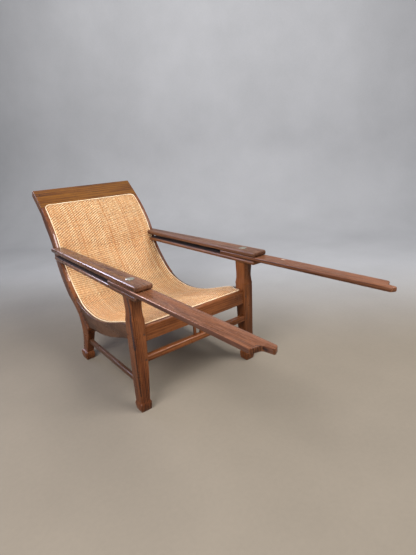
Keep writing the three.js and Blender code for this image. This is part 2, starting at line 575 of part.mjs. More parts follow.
// Tenons; each neighbour is cut to the same size plus the fit.
const tenons = {
  frontRail: (grow) => block(
    [legInnerX(RAIL_TENON_Z) - OVERRUN, FRONT_TENON_FRONT, RAIL_TENON_Z - RAIL_TENON_HEIGHT / 2],
    [legInnerX(RAIL_TENON_Z) + TENON_LENGTH, FRONT_TENON_FRONT + TENON_THICKNESS,
      RAIL_TENON_Z + RAIL_TENON_HEIGHT / 2], grow),
  sideRailFront: (grow) => block(
    [SIDE_TENON_X - TENON_THICKNESS / 2, legBackY(RAIL_TENON_Z) - SIDE_TENON_LENGTH,
      RAIL_TENON_Z - RAIL_TENON_HEIGHT / 2],
    [SIDE_TENON_X + TENON_THICKNESS / 2, legBackY(RAIL_TENON_Z) + OVERRUN,
      RAIL_TENON_Z + RAIL_TENON_HEIGHT / 2], grow),
  sideRailBack: (grow) => {
    const low = SCARF_MIDDLE - SCARF_TENON_HALF - grow;
    const high = SCARF_MIDDLE + SCARF_TENON_HALF + grow;
    const deep = SCARF_TENON_DEPTH + grow;
    const outline = [onScarf(low, -OVERRUN), onScarf(low, deep), onScarf(high, deep), onScarf(high, -OVERRUN)];
    return plank(outline, SIDE_TENON_X - TENON_THICKNESS / 2 - grow, SIDE_TENON_X + TENON_THICKNESS / 2 + grow);
  },
  frontStretcher: (grow) => block(
    [legInnerX(FRONT_STRETCHER_Z) - OVERRUN, FRONT_STRETCHER_Y - STRETCHER_TENON / 2,
      FRONT_STRETCHER_Z - STRETCHER_TENON_HEIGHT / 2],
    [legInnerX(FRONT_STRETCHER_Z) + STRETCHER_TENON_LENGTH, FRONT_STRETCHER_Y + STRETCHER_TENON / 2,
      FRONT_STRETCHER_Z + STRETCHER_TENON_HEIGHT / 2], grow),
  sideStretcherFront: (grow) => block(
    [SIDE_STRETCHER_X - STRETCHER_TENON / 2, legBackY(SIDE_STRETCHER_Z) - STRETCHER_TENON_LENGTH,
      SIDE_STRETCHER_Z - STRETCHER_TENON_HEIGHT / 2],
    [SIDE_STRETCHER_X + STRETCHER_TENON / 2, legBackY(SIDE_STRETCHER_Z) + OVERRUN,
      SIDE_STRETCHER_Z + STRETCHER_TENON_HEIGHT / 2], grow),
  sideStretcherBack: (grow) => block(
    [SIDE_STRETCHER_X - STRETCHER_TENON / 2, shinY(SIDE_STRETCHER_Z) - 2 * OVERRUN,
      SIDE_STRETCHER_Z - STRETCHER_TENON_HEIGHT / 2],
    [SIDE_STRETCHER_X + STRETCHER_TENON / 2, shinY(SIDE_STRETCHER_Z) + STRETCHER_TENON_LENGTH,
      SIDE_STRETCHER_Z + STRETCHER_TENON_HEIGHT / 2], grow),
  backRail: (grow) => block(
    [BACK_RAIL_INNER - OVERRUN, BACK_RAIL_Y - TENON_THICKNESS / 2, BACK_RAIL_Z - RAIL_TENON_HEIGHT / 2],
    [BACK_RAIL_INNER + STRETCHER_TENON_LENGTH, BACK_RAIL_Y + TENON_THICKNESS / 2,
      BACK_RAIL_Z + RAIL_TENON_HEIGHT / 2], grow),
  crest: (grow) => {
    const low = CREST_AT - OVERRUN;
    const high = CREST_AT + CREST_TENON_LENGTH + grow;
    const front = -(CREST_THICKNESS - TENON_THICKNESS) / 2 + grow;
    const back = front - TENON_THICKNESS - 2 * grow;
    const outline = [outlinePoint(low, front), outlinePoint(low, back), outlinePoint(high, back),
      outlinePoint(high, front)];
    const half = CREST_TENON_WIDTH / 2 + grow;
    return plank(outline, CREST_MIDDLE_X - half, CREST_MIDDLE_X + half);
  },
  frontLegTop: (grow) => block(
    [PIVOT_X - LEG_TENON / 2, PIVOT_Y + LEG_TENON_BACK - LEG_TENON / 2, ARM_HEIGHT - OVERRUN],
    [PIVOT_X + LEG_TENON / 2, PIVOT_Y + LEG_TENON_BACK + LEG_TENON / 2, ARM_HEIGHT + LEG_TENON_HEIGHT], grow),
  lowerArm: (grow) => {
    const face = stileFaceInArm(LOWER_BOARD / 2);
    const middleX = face.outerX - STILE_STRIP / 2;
    return block(
      [middleX - ARM_TENON_WIDTH / 2, face.y - 2 * OVERRUN, ARM_TENON_SHOULDER],
      [middleX + ARM_TENON_WIDTH / 2, face.y + ARM_TENON_LENGTH, LOWER_BOARD - ARM_TENON_SHOULDER], grow);
  },
};

// Pegs: each from its proud outer end to its blind inner end.
const CREST_PEG_AT = CREST_AT + CREST_TENON_LENGTH / 2;
const ARM_PEG_Y = (stileFaceInArm(SLOT_TOP).y + ARM_BACK) / 2;
const LOWER_PEG_Y = stileFaceInArm(LOWER_BOARD / 2).y + ARM_TENON_LENGTH / 2;
const pegPlaces = {
  front_rail: [
    [legInnerX(RAIL_TENON_Z) + PEG_INSET, legFrontY(RAIL_TENON_Z) - PEG_PROUD, RAIL_TENON_Z],
    [legInnerX(RAIL_TENON_Z) + PEG_INSET, FRONT_TENON_FRONT + TENON_THICKNESS + PEG_PAST, RAIL_TENON_Z]],
  side_rail_front: [
    [legOuterX(RAIL_TENON_Z) + PEG_PROUD, legBackY(RAIL_TENON_Z) - PEG_INSET, RAIL_TENON_Z],
    [SIDE_TENON_X - TENON_THICKNESS / 2 - PEG_PAST, legBackY(RAIL_TENON_Z) - PEG_INSET, RAIL_TENON_Z]],
  front_stretcher: [
    [legInnerX(FRONT_STRETCHER_Z) + PEG_INSET, legFrontY(FRONT_STRETCHER_Z) - PEG_PROUD, FRONT_STRETCHER_Z],
    [legInnerX(FRONT_STRETCHER_Z) + PEG_INSET, FRONT_STRETCHER_Y + STRETCHER_TENON / 2 + PEG_PAST,
      FRONT_STRETCHER_Z]],
  side_stretcher_front: [
    [legOuterX(SIDE_STRETCHER_Z) + PEG_PROUD, legBackY(SIDE_STRETCHER_Z) - PEG_INSET, SIDE_STRETCHER_Z],
    [SIDE_STRETCHER_X - STRETCHER_TENON / 2 - PEG_PAST, legBackY(SIDE_STRETCHER_Z) - PEG_INSET, SIDE_STRETCHER_Z]],
  side_stretcher_back: [
    [backOuterX(SIDE_STRETCHER_Z) + PEG_PROUD, shinY(SIDE_STRETCHER_Z) + PEG_INSET, SIDE_STRETCHER_Z],
    [SIDE_STRETCHER_X - STRETCHER_TENON / 2 - PEG_PAST, shinY(SIDE_STRETCHER_Z) + PEG_INSET, SIDE_STRETCHER_Z]],
  back_rail: [
    [BACK_RAIL_INNER + PEG_INSET, shinY(BACK_RAIL_Z) - PEG_PROUD, BACK_RAIL_Z],
    [BACK_RAIL_INNER + PEG_INSET, BACK_RAIL_Y + TENON_THICKNESS / 2 + PEG_PAST, BACK_RAIL_Z]],
  side_rail_low: scarfPeg(SCARF_MIDDLE - SCARF_TENON_HALF / 2),
  side_rail_high: scarfPeg(SCARF_MIDDLE + SCARF_TENON_HALF / 2),
  crest: [
    onSeat(CREST_PEG_AT, CREST_MIDDLE_X, -CREST_THICKNESS - PEG_PROUD).toArray(),
    onSeat(CREST_PEG_AT, CREST_MIDDLE_X, -(CREST_THICKNESS - TENON_THICKNESS) / 2 + PEG_PAST).toArray()],
};
const armPegPlaces = {
  arm_upper: [
    [ARM_BACK_OUTER + PEG_PROUD, ARM_PEG_Y, SLOT_TOP + UPPER_BOARD / 2],
    [stileFaceInArm(SLOT_TOP).outerX - BACK_PLANK / 2, ARM_PEG_Y, SLOT_TOP + UPPER_BOARD / 2]],
  arm_lower: [
    [stileFaceInArm(0).outerX + PEG_PROUD, LOWER_PEG_Y, LOWER_BOARD / 2],
    [stileFaceInArm(0).outerX - STILE_STRIP - PEG_PAST, LOWER_PEG_Y, LOWER_BOARD / 2]],
};

function scarfPeg(along) {
  const place = onScarf(along, PEG_INSET);
  const inner = SIDE_TENON_X - TENON_THICKNESS / 2 - PEG_PAST;
  return [[backOuterX(place.y) + PEG_PROUD, place.x, place.y], [inner, place.x, place.y]];
}

function pegSolid([from, to]) {
  return rod(from, to, PEG_RADIUS);
}

// The hole for a peg: wider by the fit, open at the outer end and deeper by the fit.
function pegHole([from, to]) {
  const outer = new THREE.Vector3(...from);
  const inner = new THREE.Vector3(...to);
  const outward = outer.clone().sub(inner).normalize();
  outer.addScaledVector(outward, OVERRUN);
  inner.addScaledVector(outward, -FIT);
  return rod(outer.toArray(), inner.toArray(), PEG_RADIUS + FIT);
}

const hole = (name) => pegHole(pegPlaces[name]);
const armHole = (name) => pegHole(armPegPlaces[name]);

// The reed's closed path along the seat, as [across, along] points

function reedHalf(at) {
  const intoSeat = THREE.MathUtils.smoothstep(at, FRONT_TAPER_START, FRONT_TAPER_END);
  const seatHalf = THREE.MathUtils.lerp(REED_FRONT_HALF, SIDE_RAIL_OUTER - REED_INSET_SEAT, intoSeat);
  const backHalf = backOuterX(onSeat(at, 0, 0).z) - REED_INSET_BACK;
  return THREE.MathUtils.lerp(seatHalf, backHalf, THREE.MathUtils.smoothstep(at, JOINT_AT - STILE_DEPTH, JOINT_AT));
}

function reedSide() {
  const start = REED_FRONT_INSET;
  const end = SEAT_LENGTH - REED_CREST_INSET;
  const frontHalf = reedHalf(start);
  const topHalf = reedHalf(end);
  const corner = (angle, half, at, radius, sign) => new THREE.Vector2(
    half - radius * (1 - Math.cos(angle)), at + sign * radius * (1 - Math.sin(angle)));
  const front = stations(Math.PI / 2, 0, CORNER_DIVISIONS)
    .map((angle) => corner(angle, frontHalf, start, FRONT_CORNER, 1));
  const top = stations(0, Math.PI / 2, CORNER_DIVISIONS)
    .map((angle) => corner(angle, topHalf, end, TOP_CORNER, -1));
  const side = seatStations(start + FRONT_CORNER, end - TOP_CORNER).slice(1, -1)
    .map((at) => new THREE.Vector2(reedHalf(at), at));
  return [...front, ...side, ...top];
}

const REED_SIDE = reedSide();
const REED_LOOP = [...REED_SIDE, ...REED_SIDE.map((point) => new THREE.Vector2(-point.x, point.y)).reverse()];

// A closed strip along the reed's path; the section gives [share of the half width, height].
function strip(halfWidth, section) {
  const loops = section.map(([side, above]) => ({ loop: offsetLoop(REED_LOOP, side * halfWidth), above }));
  const rings = REED_LOOP.map((_, i) => loops.map(({ loop, above }) => onSeat(loop[i].y, loop[i].x, above)));
  return skin(rings, true);
}

function reedSolid() {
  const shoulder = REED_RISE - REED_ROUND;
  const base = FIT - GROOVE_DEPTH;
  const inner = 1 - 2 * REED_ROUND / REED_WIDTH;
  return strip(REED_WIDTH / 2, [
    [-1, base], [-1, shoulder], [-inner, REED_RISE], [inner, REED_RISE], [1, shoulder], [1, base]]);
}

function grooveSolid() {
  return strip(REED_WIDTH / 2 + FIT, [[-1, -GROOVE_DEPTH], [-1, OVERRUN], [1, OVERRUN], [1, -GROOVE_DEPTH]]);
}

// The cane sheet fills the reed's loop, one flat row between stations.
function caneSolid() {
  const edge = offsetLoop(REED_LOOP, -REED_WIDTH / 2 - FIT).slice(0, REED_SIDE.length);
  const low = FIT;
  const high = FIT + CANE_THICKNESS;
  return skin(edge.map(({ x, y }) => [
    onSeat(y, -x, low), onSeat(y, -x, high), onSeat(y, x, high), onSeat(y, x, low)]));
}

const groove = grooveSolid();

// Frame parts, each made for the right side or for the middle

const PIVOT_BORE = [[0, 0, -PIN_DEPTH - FIT], [0, 0, ARM_TOP + OVERRUN]];
const pivotBore = rod(...PIVOT_BORE, PIN_RADIUS + FIT, PIN_SIDES);

function frontLeg() {
  return cut(
    join(frontLegBody(), tenons.frontLegTop(0)),
    moved(pivotBore, ARM_FRAME), tenons.frontRail(FIT), tenons.sideRailFront(FIT), tenons.frontStretcher(FIT),
    tenons.sideStretcherFront(FIT), hole('front_rail'), hole('side_rail_front'), hole('front_stretcher'),
    hole('side_stretcher_front'));
}

function backLeg() {
  return cut(
    join(backLegBody(), tenons.crest(0)),
    groove, tenons.sideRailBack(FIT), tenons.sideStretcherBack(FIT), tenons.backRail(FIT),
    moved(tenons.lowerArm(FIT), ARM_FRAME), moved(armHole('arm_upper'), ARM_FRAME),
    moved(armHole('arm_lower'), ARM_FRAME), hole('side_rail_low'), hole('side_rail_high'),
    hole('side_stretcher_back'), hole('back_rail'), hole('crest'));
}

function sideRail() {
  const start = distanceAtY(FRONT_RAIL_BACK + FIT);
  const top = seatStations(start, JOINT_AT - FIT).map((at) => outlinePoint(at));
  const end = [outlinePoint(JOINT_AT - FIT, -SCARF_NIB).addScaledVector(scarfUp, FIT), onScarf(0, -FIT)];
  const lowest = distanceAtY(RAIL_HEEL_SHARE * SEAT_REACH);
  const bottom = stations(lowest, start, RAIL_DIVISIONS).map((at) => outlinePoint(at, -SIDE_RAIL_DEPTH));
  bottom[RAIL_DIVISIONS].x = top[0].x;
  const outline = [...top, ...end, ...bottom];
  const body = cut(plank(outline, SIDE_RAIL_OUTER - SIDE_RAIL_THICKNESS, SIDE_RAIL_OUTER, PLANK_EASE),
    frontLegBody(FIT));
  return cut(
    join(body, tenons.sideRailFront(0), tenons.sideRailBack(0)),
    groove, hole('side_rail_front'), hole('side_rail_low'), hole('side_rail_high'));
}

function frontRail() {
  const nose = new THREE.EllipseCurve(SEAT_START, FRONT_RAIL_TOP - FRONT_RAIL_NOSE,
    FRONT_RAIL_SETBACK, FRONT_RAIL_NOSE, Math.PI / 2, Math.PI);
  const back = outlinePoint(distanceAtY(FRONT_RAIL_BACK));
  const outline = [
    new THREE.Vector2(FRONT_RAIL_FRONT, FRONT_RAIL_BASE), new THREE.Vector2(FRONT_RAIL_BACK, FRONT_RAIL_BASE),
    back, ...nose.getPoints(CORNER_DIVISIONS),
  ];
  const reach = LEG_LINE - LEG_WIDTH / 4;
  const body = cut(plank(outline, -reach, reach), ...bothSides(frontLegBody(FIT)));
  const slatHoles = [-1, 1].map((side) => slatSolid(side, FIT));
  return cut(
    join(body, ...bothSides(tenons.frontRail(0))),
    groove, ...slatHoles, ...bothSides(hole('front_rail')));
}

function frontStretcher() {
  const reach = LEG_LINE - LEG_WIDTH / 4;
  const body = cut(
    bar([-reach, FRONT_STRETCHER_Y, FRONT_STRETCHER_Z], [reach, FRONT_STRETCHER_Y, FRONT_STRETCHER_Z],
      Y_AXIS, Z_AXIS, FRONT_STRETCHER_THICKNESS, FRONT_STRETCHER_HEIGHT),
    ...bothSides(frontLegBody(FIT)));
  const slatHoles = [-1, 1].map((side) => slatSolid(side, FIT));
  return cut(
    join(body, ...bothSides(tenons.frontStretcher(0))),
    ...slatHoles, ...bothSides(hole('front_stretcher')));
}

// One of the two short uprights between the front stretcher and the front rail; its whole length
// is as wide as its stub tenons, and the fit at its ends is inside the mortises.
function slatSolid(side, grow = 0) {
  const inner = side * SLAT_GAP / 2;
  const outer = side * (SLAT_GAP / 2 + SLAT_WIDTH);
  return block(
    [Math.min(inner, outer), SLAT_Y - SLAT_THICKNESS / 2, FRONT_STRETCHER_TOP - SLAT_TENON],
    [Math.max(inner, outer), SLAT_Y + SLAT_THICKNESS / 2, FRONT_RAIL_BASE + SLAT_TENON], grow);
}

function sideStretcher() {
  const from = [SIDE_STRETCHER_X, legCentre(SIDE_STRETCHER_Z).y, SIDE_STRETCHER_Z];
  const to = [SIDE_STRETCHER_X, shinY(SIDE_STRETCHER_Z) + STRETCHER_THICKNESS, SIDE_STRETCHER_Z];
  const body = cut(
    bar(from, to, Z_AXIS, X_AXIS, STRETCHER_HEIGHT, STRETCHER_THICKNESS),
    frontLegBody(FIT), backLegRoom());
  return cut(
    join(body, tenons.sideStretcherFront(0), tenons.sideStretcherBack(0)),
    hole('side_stretcher_front'), hole('side_stretcher_back'));
}

function backRail() {
  const reach = BACK_RAIL_INNER + STRETCHER_THICKNESS / 2;
  const body = cut(
    bar([-reach, BACK_RAIL_Y, BACK_RAIL_Z], [reach, BACK_RAIL_Y, BACK_RAIL_Z], Y_AXIS, Z_AXIS,
      BACK_RAIL_THICKNESS, BACK_RAIL_HEIGHT),
    ...bothSides(backLegRoom()));
  return cut(join(body, ...bothSides(tenons.backRail(0))), ...bothSides(hole('back_rail')));
}

function crestRail() {
  const shoulder = SEAT_LENGTH - CREST_NOSE;
  const arc = (above, from) => stations(from, from + Math.PI / 2, CORNER_DIVISIONS).map((angle) => outlinePoint(
    shoulder + CREST_NOSE * Math.sin(angle), above + CREST_NOSE * Math.cos(angle)));
  const face = seatStations(CREST_AT + FIT, shoulder).slice(0, -1).map((at) => outlinePoint(at));
  const back = stations(shoulder, CREST_AT + FIT, CORNER_DIVISIONS).slice(1)
    .map((at) => outlinePoint(at, -CREST_THICKNESS));
  const outline = [...face, ...arc(-CREST_NOSE, 0), ...arc(CREST_NOSE - CREST_THICKNESS, Math.PI / 2), ...back];
  const half = BACK_TOP_HALF + CREST_OVERHANG;
  return cut(plank(outline, -half, half, PLANK_EASE), groove,
    ...bothSides(tenons.crest(FIT), hole('crest')));
}

// Arms, in the arm frame

function armShape(front, back) {
  return roundedShape([
    [-ARM_FRONT_INNER, -front, ARM_CORNER], [ARM_FRONT_OUTER, -front, ARM_CORNER],
    [ARM_BACK_OUTER, back, ARM_BACK_CORNER], [-ARM_BACK_INNER, back, ARM_BACK_CORNER]]);
}

// Room for the reed and the cane where the arms meet the back legs.
function caneRoom() {
  const low = distanceAtZ(ARM_HEIGHT - STILE_DEPTH);
  const face = seatStations(low, low + 3 * STILE_DEPTH);
  const outline = [
    ...face.map((at) => outlinePoint(at, REED_RISE + FIT)),
    ...face.map((at) => outlinePoint(at, -REED_RISE)).reverse(),
  ];
  const outer = BACK_FOOT_HALF - STILE_STRIP + FIT;
  return moved(plank(outline, outer - 2 * BACK_PLANK, outer), LEAN);
}

function upperArm() {
  return cut(
    board(armShape(ARM_FRONT, ARM_BACK), SLOT_TOP, ARM_TOP, BOARD_EASE),
    moved(backLegRoom(BACK_PLANK), TO_ARM), moved(caneRoom(), TO_ARM), pivotBore, armHole('arm_upper'));
}

function lowerArm() {
  const shape = armShape(ARM_FRONT - LOWER_BOARD_SETBACK, ARM_BACK - STILE_DEPTH / 2);
  const body = cut(
    board(shape, 0, LOWER_BOARD, BOARD_EASE),
    moved(backLegRoom(BACK_PLANK, BACK_PLANK), TO_ARM), moved(caneRoom(), TO_ARM));
  return cut(
    join(body, tenons.lowerArm(0)),
    pivotBore, moved(tenons.frontLegTop(FIT), TO_ARM), armHole('arm_lower'));
}

function legRest() {
  const tip = REST_LENGTH + TONGUE_LENGTH;
  const notch = REST_LENGTH + NOTCH_SLANT;
  const root = TONGUE_ROOT - REST_END_INNER;
  const shape = roundedShape([
    [-REST_TAIL_INNER, REST_TAIL, REST_CORNER], [-REST_END_INNER, -tip + TIP_SLANT, REST_CORNER],
    [TONGUE_TIP - REST_END_INNER, -tip, REST_CORNER], [root, -notch, REST_CORNER],
    [REST_END_OUTER, -REST_LENGTH, REST_CORNER], [REST_TAIL_OUTER, REST_TAIL, REST_CORNER]]);
  return cut(board(shape, SLOT_FLOOR, SLOT_FLOOR + LEG_REST_BOARD, REST_EASE), pivotBore);
}

function pivotPin() {
  const seat = ARM_TOP + FIT;
  const rings = [
    [-PIN_DEPTH, PIN_RADIUS - PIN_POINT], [PIN_POINT - PIN_DEPTH, PIN_RADIUS], [seat, PIN_RADIUS],
    ...PIN_HEAD_SHARES.map(([rise, radius]) => [seat + rise * PIN_HEAD_HEIGHT, radius * PIN_HEAD_RADIUS]),
  ];
  return skin(rings.map(([z, radius]) => roundRing(z, radius)));
}

// The assembly

const chair = new THREE.Group();
chair.name = 'planters_chair';
const arms = { right: new THREE.Group(), left: new THREE.Group() };
Object.entries(arms).forEach(([side, group]) => {
  group.name = `arm_${side}`;
  group.position.set(side === 'right' ? PIVOT_X : -PIVOT_X, PIVOT_Y, ARM_HEIGHT + ARM_SEAT_GAP);
  group.rotation.x = -ARM_TILT;
  chair.add(group);
});

function addPart(parent, name, material, solid) {
  const mesh = new THREE.Mesh(toGeometry(solid), material.clone());
  mesh.name = name;
  parent.add(mesh);
}

function addPair(name, material, solid, parents = { right: chair, left: chair }) {
  addPart(parents.right, `${name}_right`, material, solid);
  addPart(parents.left, `${name}_left`, material, mirrored(solid));
}

addPair('front_leg', teak, frontLeg());
addPair('back_leg', teak, backLeg());
addPair('side_rail', teak, sideRail());
addPart(chair, 'front_rail', teak, frontRail());
addPart(chair, 'crest_rail', teak, crestRail());
addPart(chair, 'back_rail', teak, backRail());
addPart(chair, 'front_stretcher', teak, frontStretcher());
addPair('side_stretcher', teak, sideStretcher());
addPair('centre_slat', teak, slatSolid(1));
addPair('arm_upper', wornTeak, upperArm(), arms);
addPair('arm_lower', wornTeak, lowerArm(), arms);
addPair('leg_rest', wornTeak, legRest(), arms);
addPair('pivot_pin', steel, pivotPin(), arms);
addPart(chair, 'cane_panel', caneSheet, caneSolid());
addPart(chair, 'reed_spline', reedStrip, reedSolid());
Object.entries(pegPlaces).forEach(([name, place]) => addPair(`peg_${name}`, pegWood, pegSolid(place)));
Object.entries(armPegPlaces).forEach(([name, place]) => addPair(`peg_${name}`, pegWood, pegSolid(place), arms));

const bounds = new THREE.Box3().setFromObject(chair);
chair.position.y = -(bounds.min.y + bounds.max.y) / 2;
const model = new THREE.Group();
model.add(chair);

export default model;
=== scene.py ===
# Planters chair: teak frame, woven cane seat, slotted arms with swinging leg rests.
# Metres, +Z up, the chair faces -Y. Every wooden piece is the solid's own form with its
# arrises rounded, and the cane is woven strand by strand.

import json
import math
import random

import bmesh
import bpy
import numpy as np
from mathutils import Matrix, Vector
from mathutils.bvhtree import BVHTree

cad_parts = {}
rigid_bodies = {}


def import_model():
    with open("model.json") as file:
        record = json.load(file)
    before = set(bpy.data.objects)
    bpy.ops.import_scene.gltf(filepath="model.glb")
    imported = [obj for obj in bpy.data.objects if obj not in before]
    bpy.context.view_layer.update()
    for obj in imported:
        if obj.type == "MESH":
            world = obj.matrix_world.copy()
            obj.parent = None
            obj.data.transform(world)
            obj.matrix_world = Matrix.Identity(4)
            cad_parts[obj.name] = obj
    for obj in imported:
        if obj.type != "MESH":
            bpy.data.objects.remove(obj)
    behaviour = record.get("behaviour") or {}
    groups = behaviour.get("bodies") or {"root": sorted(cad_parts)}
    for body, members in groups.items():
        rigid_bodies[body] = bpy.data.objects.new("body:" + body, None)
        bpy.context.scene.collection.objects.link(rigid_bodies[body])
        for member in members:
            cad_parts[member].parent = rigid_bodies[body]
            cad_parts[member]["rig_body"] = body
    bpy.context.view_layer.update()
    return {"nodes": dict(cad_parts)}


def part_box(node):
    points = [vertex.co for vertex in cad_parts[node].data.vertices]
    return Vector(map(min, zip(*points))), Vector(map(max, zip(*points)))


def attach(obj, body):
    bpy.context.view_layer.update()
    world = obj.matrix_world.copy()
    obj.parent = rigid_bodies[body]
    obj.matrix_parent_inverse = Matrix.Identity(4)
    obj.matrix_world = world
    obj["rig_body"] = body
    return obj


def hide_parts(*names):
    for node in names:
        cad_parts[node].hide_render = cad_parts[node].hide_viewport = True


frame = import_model()
NODES = frame["nodes"]

UP = (0.0, 0.0, 1.0)
DOWN = (0.0, 0.0, -1.0)
TO_LEFT = (-1.0, 0.0, 0.0)
TO_RIGHT = (1.0, 0.0, 0.0)
ALONG_X = (1.0, 0.0, 0.0)
ALONG_Y = (0.0, 1.0, 0.0)
BACK_LEG_GRAIN = (0.0, 0.5, 0.87)

# Camera: solved on the photograph's straight edges
FRAME_WIDTH, FRAME_HEIGHT = 416, 555
FOCAL_PIXELS = 392.2
SENSOR = 36.0
CAMERA_PLACE = (-0.909, -1.48414, 1.027)
CAMERA_YAW = math.radians(37.27)
CAMERA_PITCH = math.radians(18.32)
CAMERA_ROLL = math.radians(-3.86)
CAMERA_REACH = (0.05, 60)

# Arrises: how far each kind is rounded, and the sharpest turn that stays as it is
EDGE_ROUND = 0.0012
WORN_EDGE_ROUND = 0.002
SMALL_ROUND = 0.0006
PEG_ROUND = 0.0005
EDGE_ANGLE = math.radians(28)
REED_EDGE_ANGLE = math.radians(25)
PIN_EDGE_ANGLE = math.radians(20)
ARM_EDGE_ANGLE = math.radians(15)
WELD = 0.00002
FLAT_ANGLE = math.radians(0.5)

# Weave
WARP_PITCH = 0.0055
WEFT_PITCH = 0.00333
WARP_WIDTH = 0.0047
WEFT_WIDTH = 0.003
STRAND_RISE = 0.0006       # from the sheet's middle to a strand's middle where it crosses over
STRAND_CROWN = 0.00032
STRAND_THICKNESS = 0.0003
SHEET_MIDDLE = -0.0012     # below the panel's upper face
FLOAT = 2                  # strands passed over, and then under
FEWEST_CROSSINGS = 4       # a shorter warp is left out
WEFT_MARGIN = 0.4          # of a warp's pitch, from the last warp to the sheet's edge
DIAMOND_ACROSS = 0.003     # centre of the diamonds
DIAMOND_ALONG = 0.923      # from the front edge, along the seat
DIAMOND_END = 0.655        # nearer the front the twill is plain
SAG = 0.002                # at the middle of the sheet
SAG_EASE = 0.15            # from either end until the sag is full
WIDTH_SPREAD = 0.06        # share of a strand's width
TONE_SPREAD = 0.16         # from strand to strand
SEAMS = (                  # x, from and to along the seat, change of tone
    (0.033, 0.765, 1.3, -0.55),
    (-0.143, 0.86, 1.3, -0.4),
    (-0.022, 0.8, 1.3, 0.25),
    (0.16, 0.9, 1.3, -0.2),
)
PROFILE_STEPS = 900
PROFILE_INSET = 0.0002
SMOOTH_REACH = 0.024
CLEAR_ABOVE = 0.2          # height from which the panel's face is sought

# Colours, as they look on a screen. Woods: dark, middle, light
FRAME_TONES = ((52, 23, 10), (92, 48, 24), (124, 73, 41))
CREST_TONES = ((56, 27, 2), (94, 52, 8), (122, 76, 16))
RAIL_TONES = ((64, 31, 15), (102, 56, 28), (132, 78, 43))
SIDE_TONES = ((48, 27, 17), (74, 46, 31), (98, 66, 47))
ARM_TONES = ((48, 26, 17), (92, 57, 38), (124, 84, 60))
# Painted light: a lighter, more orange copy of the arm tones, for the right lower arm board where light falls
# on it
LIT_ARM_BOARD_TONES = ((62, 34, 18), (112, 68, 38), (146, 94, 58))
REST_TONES = ((56, 29, 17), (98, 58, 36), (130, 84, 58))
REED_TONES = ((214, 172, 128), (246, 214, 172), (255, 236, 206))
ARM_TOP_TONE = (122, 92, 76)
REST_TOP_TONE = (124, 82, 60)
RUBBED_TONE = (120, 82, 56)
REED_RUBBED_TONE = (255, 240, 214)
# Painted shade, for the faces inside the arms' slots and on the leg rests' sides
PAINTED_SHADE_TONE = (34, 26, 33)
PEG_TONES = ((44, 26, 18), (84, 52, 34))
PIN_TONE = (186, 186, 172)
FLOOR_TONE = (134, 125, 113)
WALL_TONE = (177, 178, 182)

# Cane: brown, middle, pale. Warps and wefts are the same cane; the warps are painted lighter and the wefts
# darker, as painted sheen and shade
LIT_WARP_TONES = ((216, 158, 102), (255, 228, 178), (255, 242, 208))
SHADED_WEFT_TONES = ((152, 94, 54), (218, 153, 96), (238, 177, 120))

# Where the three colours stand on each scale of tone
WOOD_STOPS = (0.58, 0.78, 1.0)
CANE_STOPS = (0.22, 0.5, 0.85)

# Teak's noises: stretch across and along the grain, scale, detail, roughness, distortion
FIGURE = ((9, 9, 0.9), 2.2, 3.0, 0.55, 0.6)
FIBRES = ((110, 110, 3.5), 2.0, 4.0, 0.6, 0.0)
PORES = ((620, 620, 16), 1.6, 2.0, 0.5, 0.0)
PATCHES = ((14, 14, 3), 1.5, 3.0, 0.6, 0.0)
FLECKS = ((180, 180, 9), 1.7, 3.0, 0.6, 0.0)

# Noises that follow no grain: scale, detail, roughness
CHIPS = (60.0, 3.0, 0.65)
WAX = (22.0, 3.0, 0.6)
MARK_EDGE = (3.0, 0.6)
PEG_SPECKLE = (900.0, 3.0, 0.6)
PEG_BLOTCH = (120.0, 2.0, 0.5)
CANE_FIBRE = (420.0, 3.0, 0.6)
CANE_BLOTCH = (9.0, 3.0, 0.55)
CANE_MOTTLE = (150.0, 2.0, 0.5)
DENTS = (190.0, 2.0, 0.5)
FILM = (420.0, 3.0, 0.6)
CLOUD = (1.6, 4.0, 0.6)
GRIT = (60.0, 3.0, 0.6)

# Stretch of the cane's fibres, so that they run along each strand
WARP_STRETCH = (1.0, 0.05, 0.05)
WEFT_STRETCH = (0.05, 1.0, 1.0)

# Growth rings 6 mm apart: at scale 1 the wave repeats every 0.314
RINGS = {"Scale": 0.314 / 0.006, "Distortion": 7.0, "Detail": 2.0, "Detail Scale": 0.35}
RING_STRETCH = (1, 1, 0.12)

# The first range holds most of a noise's values. Each other one runs from none of a thing to all of it
NOISE_RANGE = (0.3, 0.7)
PORE_RANGE = (0.47, 0.36)
CHIP_RANGE = (0.35, 0.62)
FLECK_RANGE = (0.42, 0.56)
SPECKLE_RANGE = (0.35, 0.65)
BRIGHT_RANGE = (0.35, 0.6)
TURN_RANGE = (0.98, 0.55)
UPWARD_RANGE = (0.35, 0.9)
FACING_RANGE = (0.9, 0.98)
MARK_RANGE = (0.7, 1.1)

# Shares in the wood's tone, and in its colour
FIGURE_SHARE, FIBRE_SHARE, RING_SHARE = 0.9, 0.62, 0.18
PORE_SHARE, PORE_TONE = 0.42, 0.45
PATCH_SHARES = (0.45, 0.9)
FLECK_SHARE = 0.8

# Gloss, and how far roughness strays to either side
WOOD_SHINE = 0.26
CANE_SHINE = 0.34
SMOOTHER, ROUGHER = 0.06, 0.12

# Relief: its depth in metres, and how far from an arris the wood is rubbed
GRAIN_DEPTH = 0.00035
SPECKLE_DEPTH = 0.0003
FIBRE_DEPTH = 0.0002
DENT_DEPTH = 0.0006
RUB_REACH = 0.004

# Finishes: slot, rounding, how much the arrises are rubbed, roughness, strength of the grain's relief
WAXED = ("teak", EDGE_ROUND, 0.5, 0.3, 0.3)
WORN = ("worn_teak", WORN_EDGE_ROUND, 0.75, 0.24, 0.14)

# Pieces duller than their finish, and how rough they are
DULLER = {"crest_rail": 0.5, "arm_upper_right": 0.44, "arm_lower_right": 0.44, "leg_rest_right": 0.4}

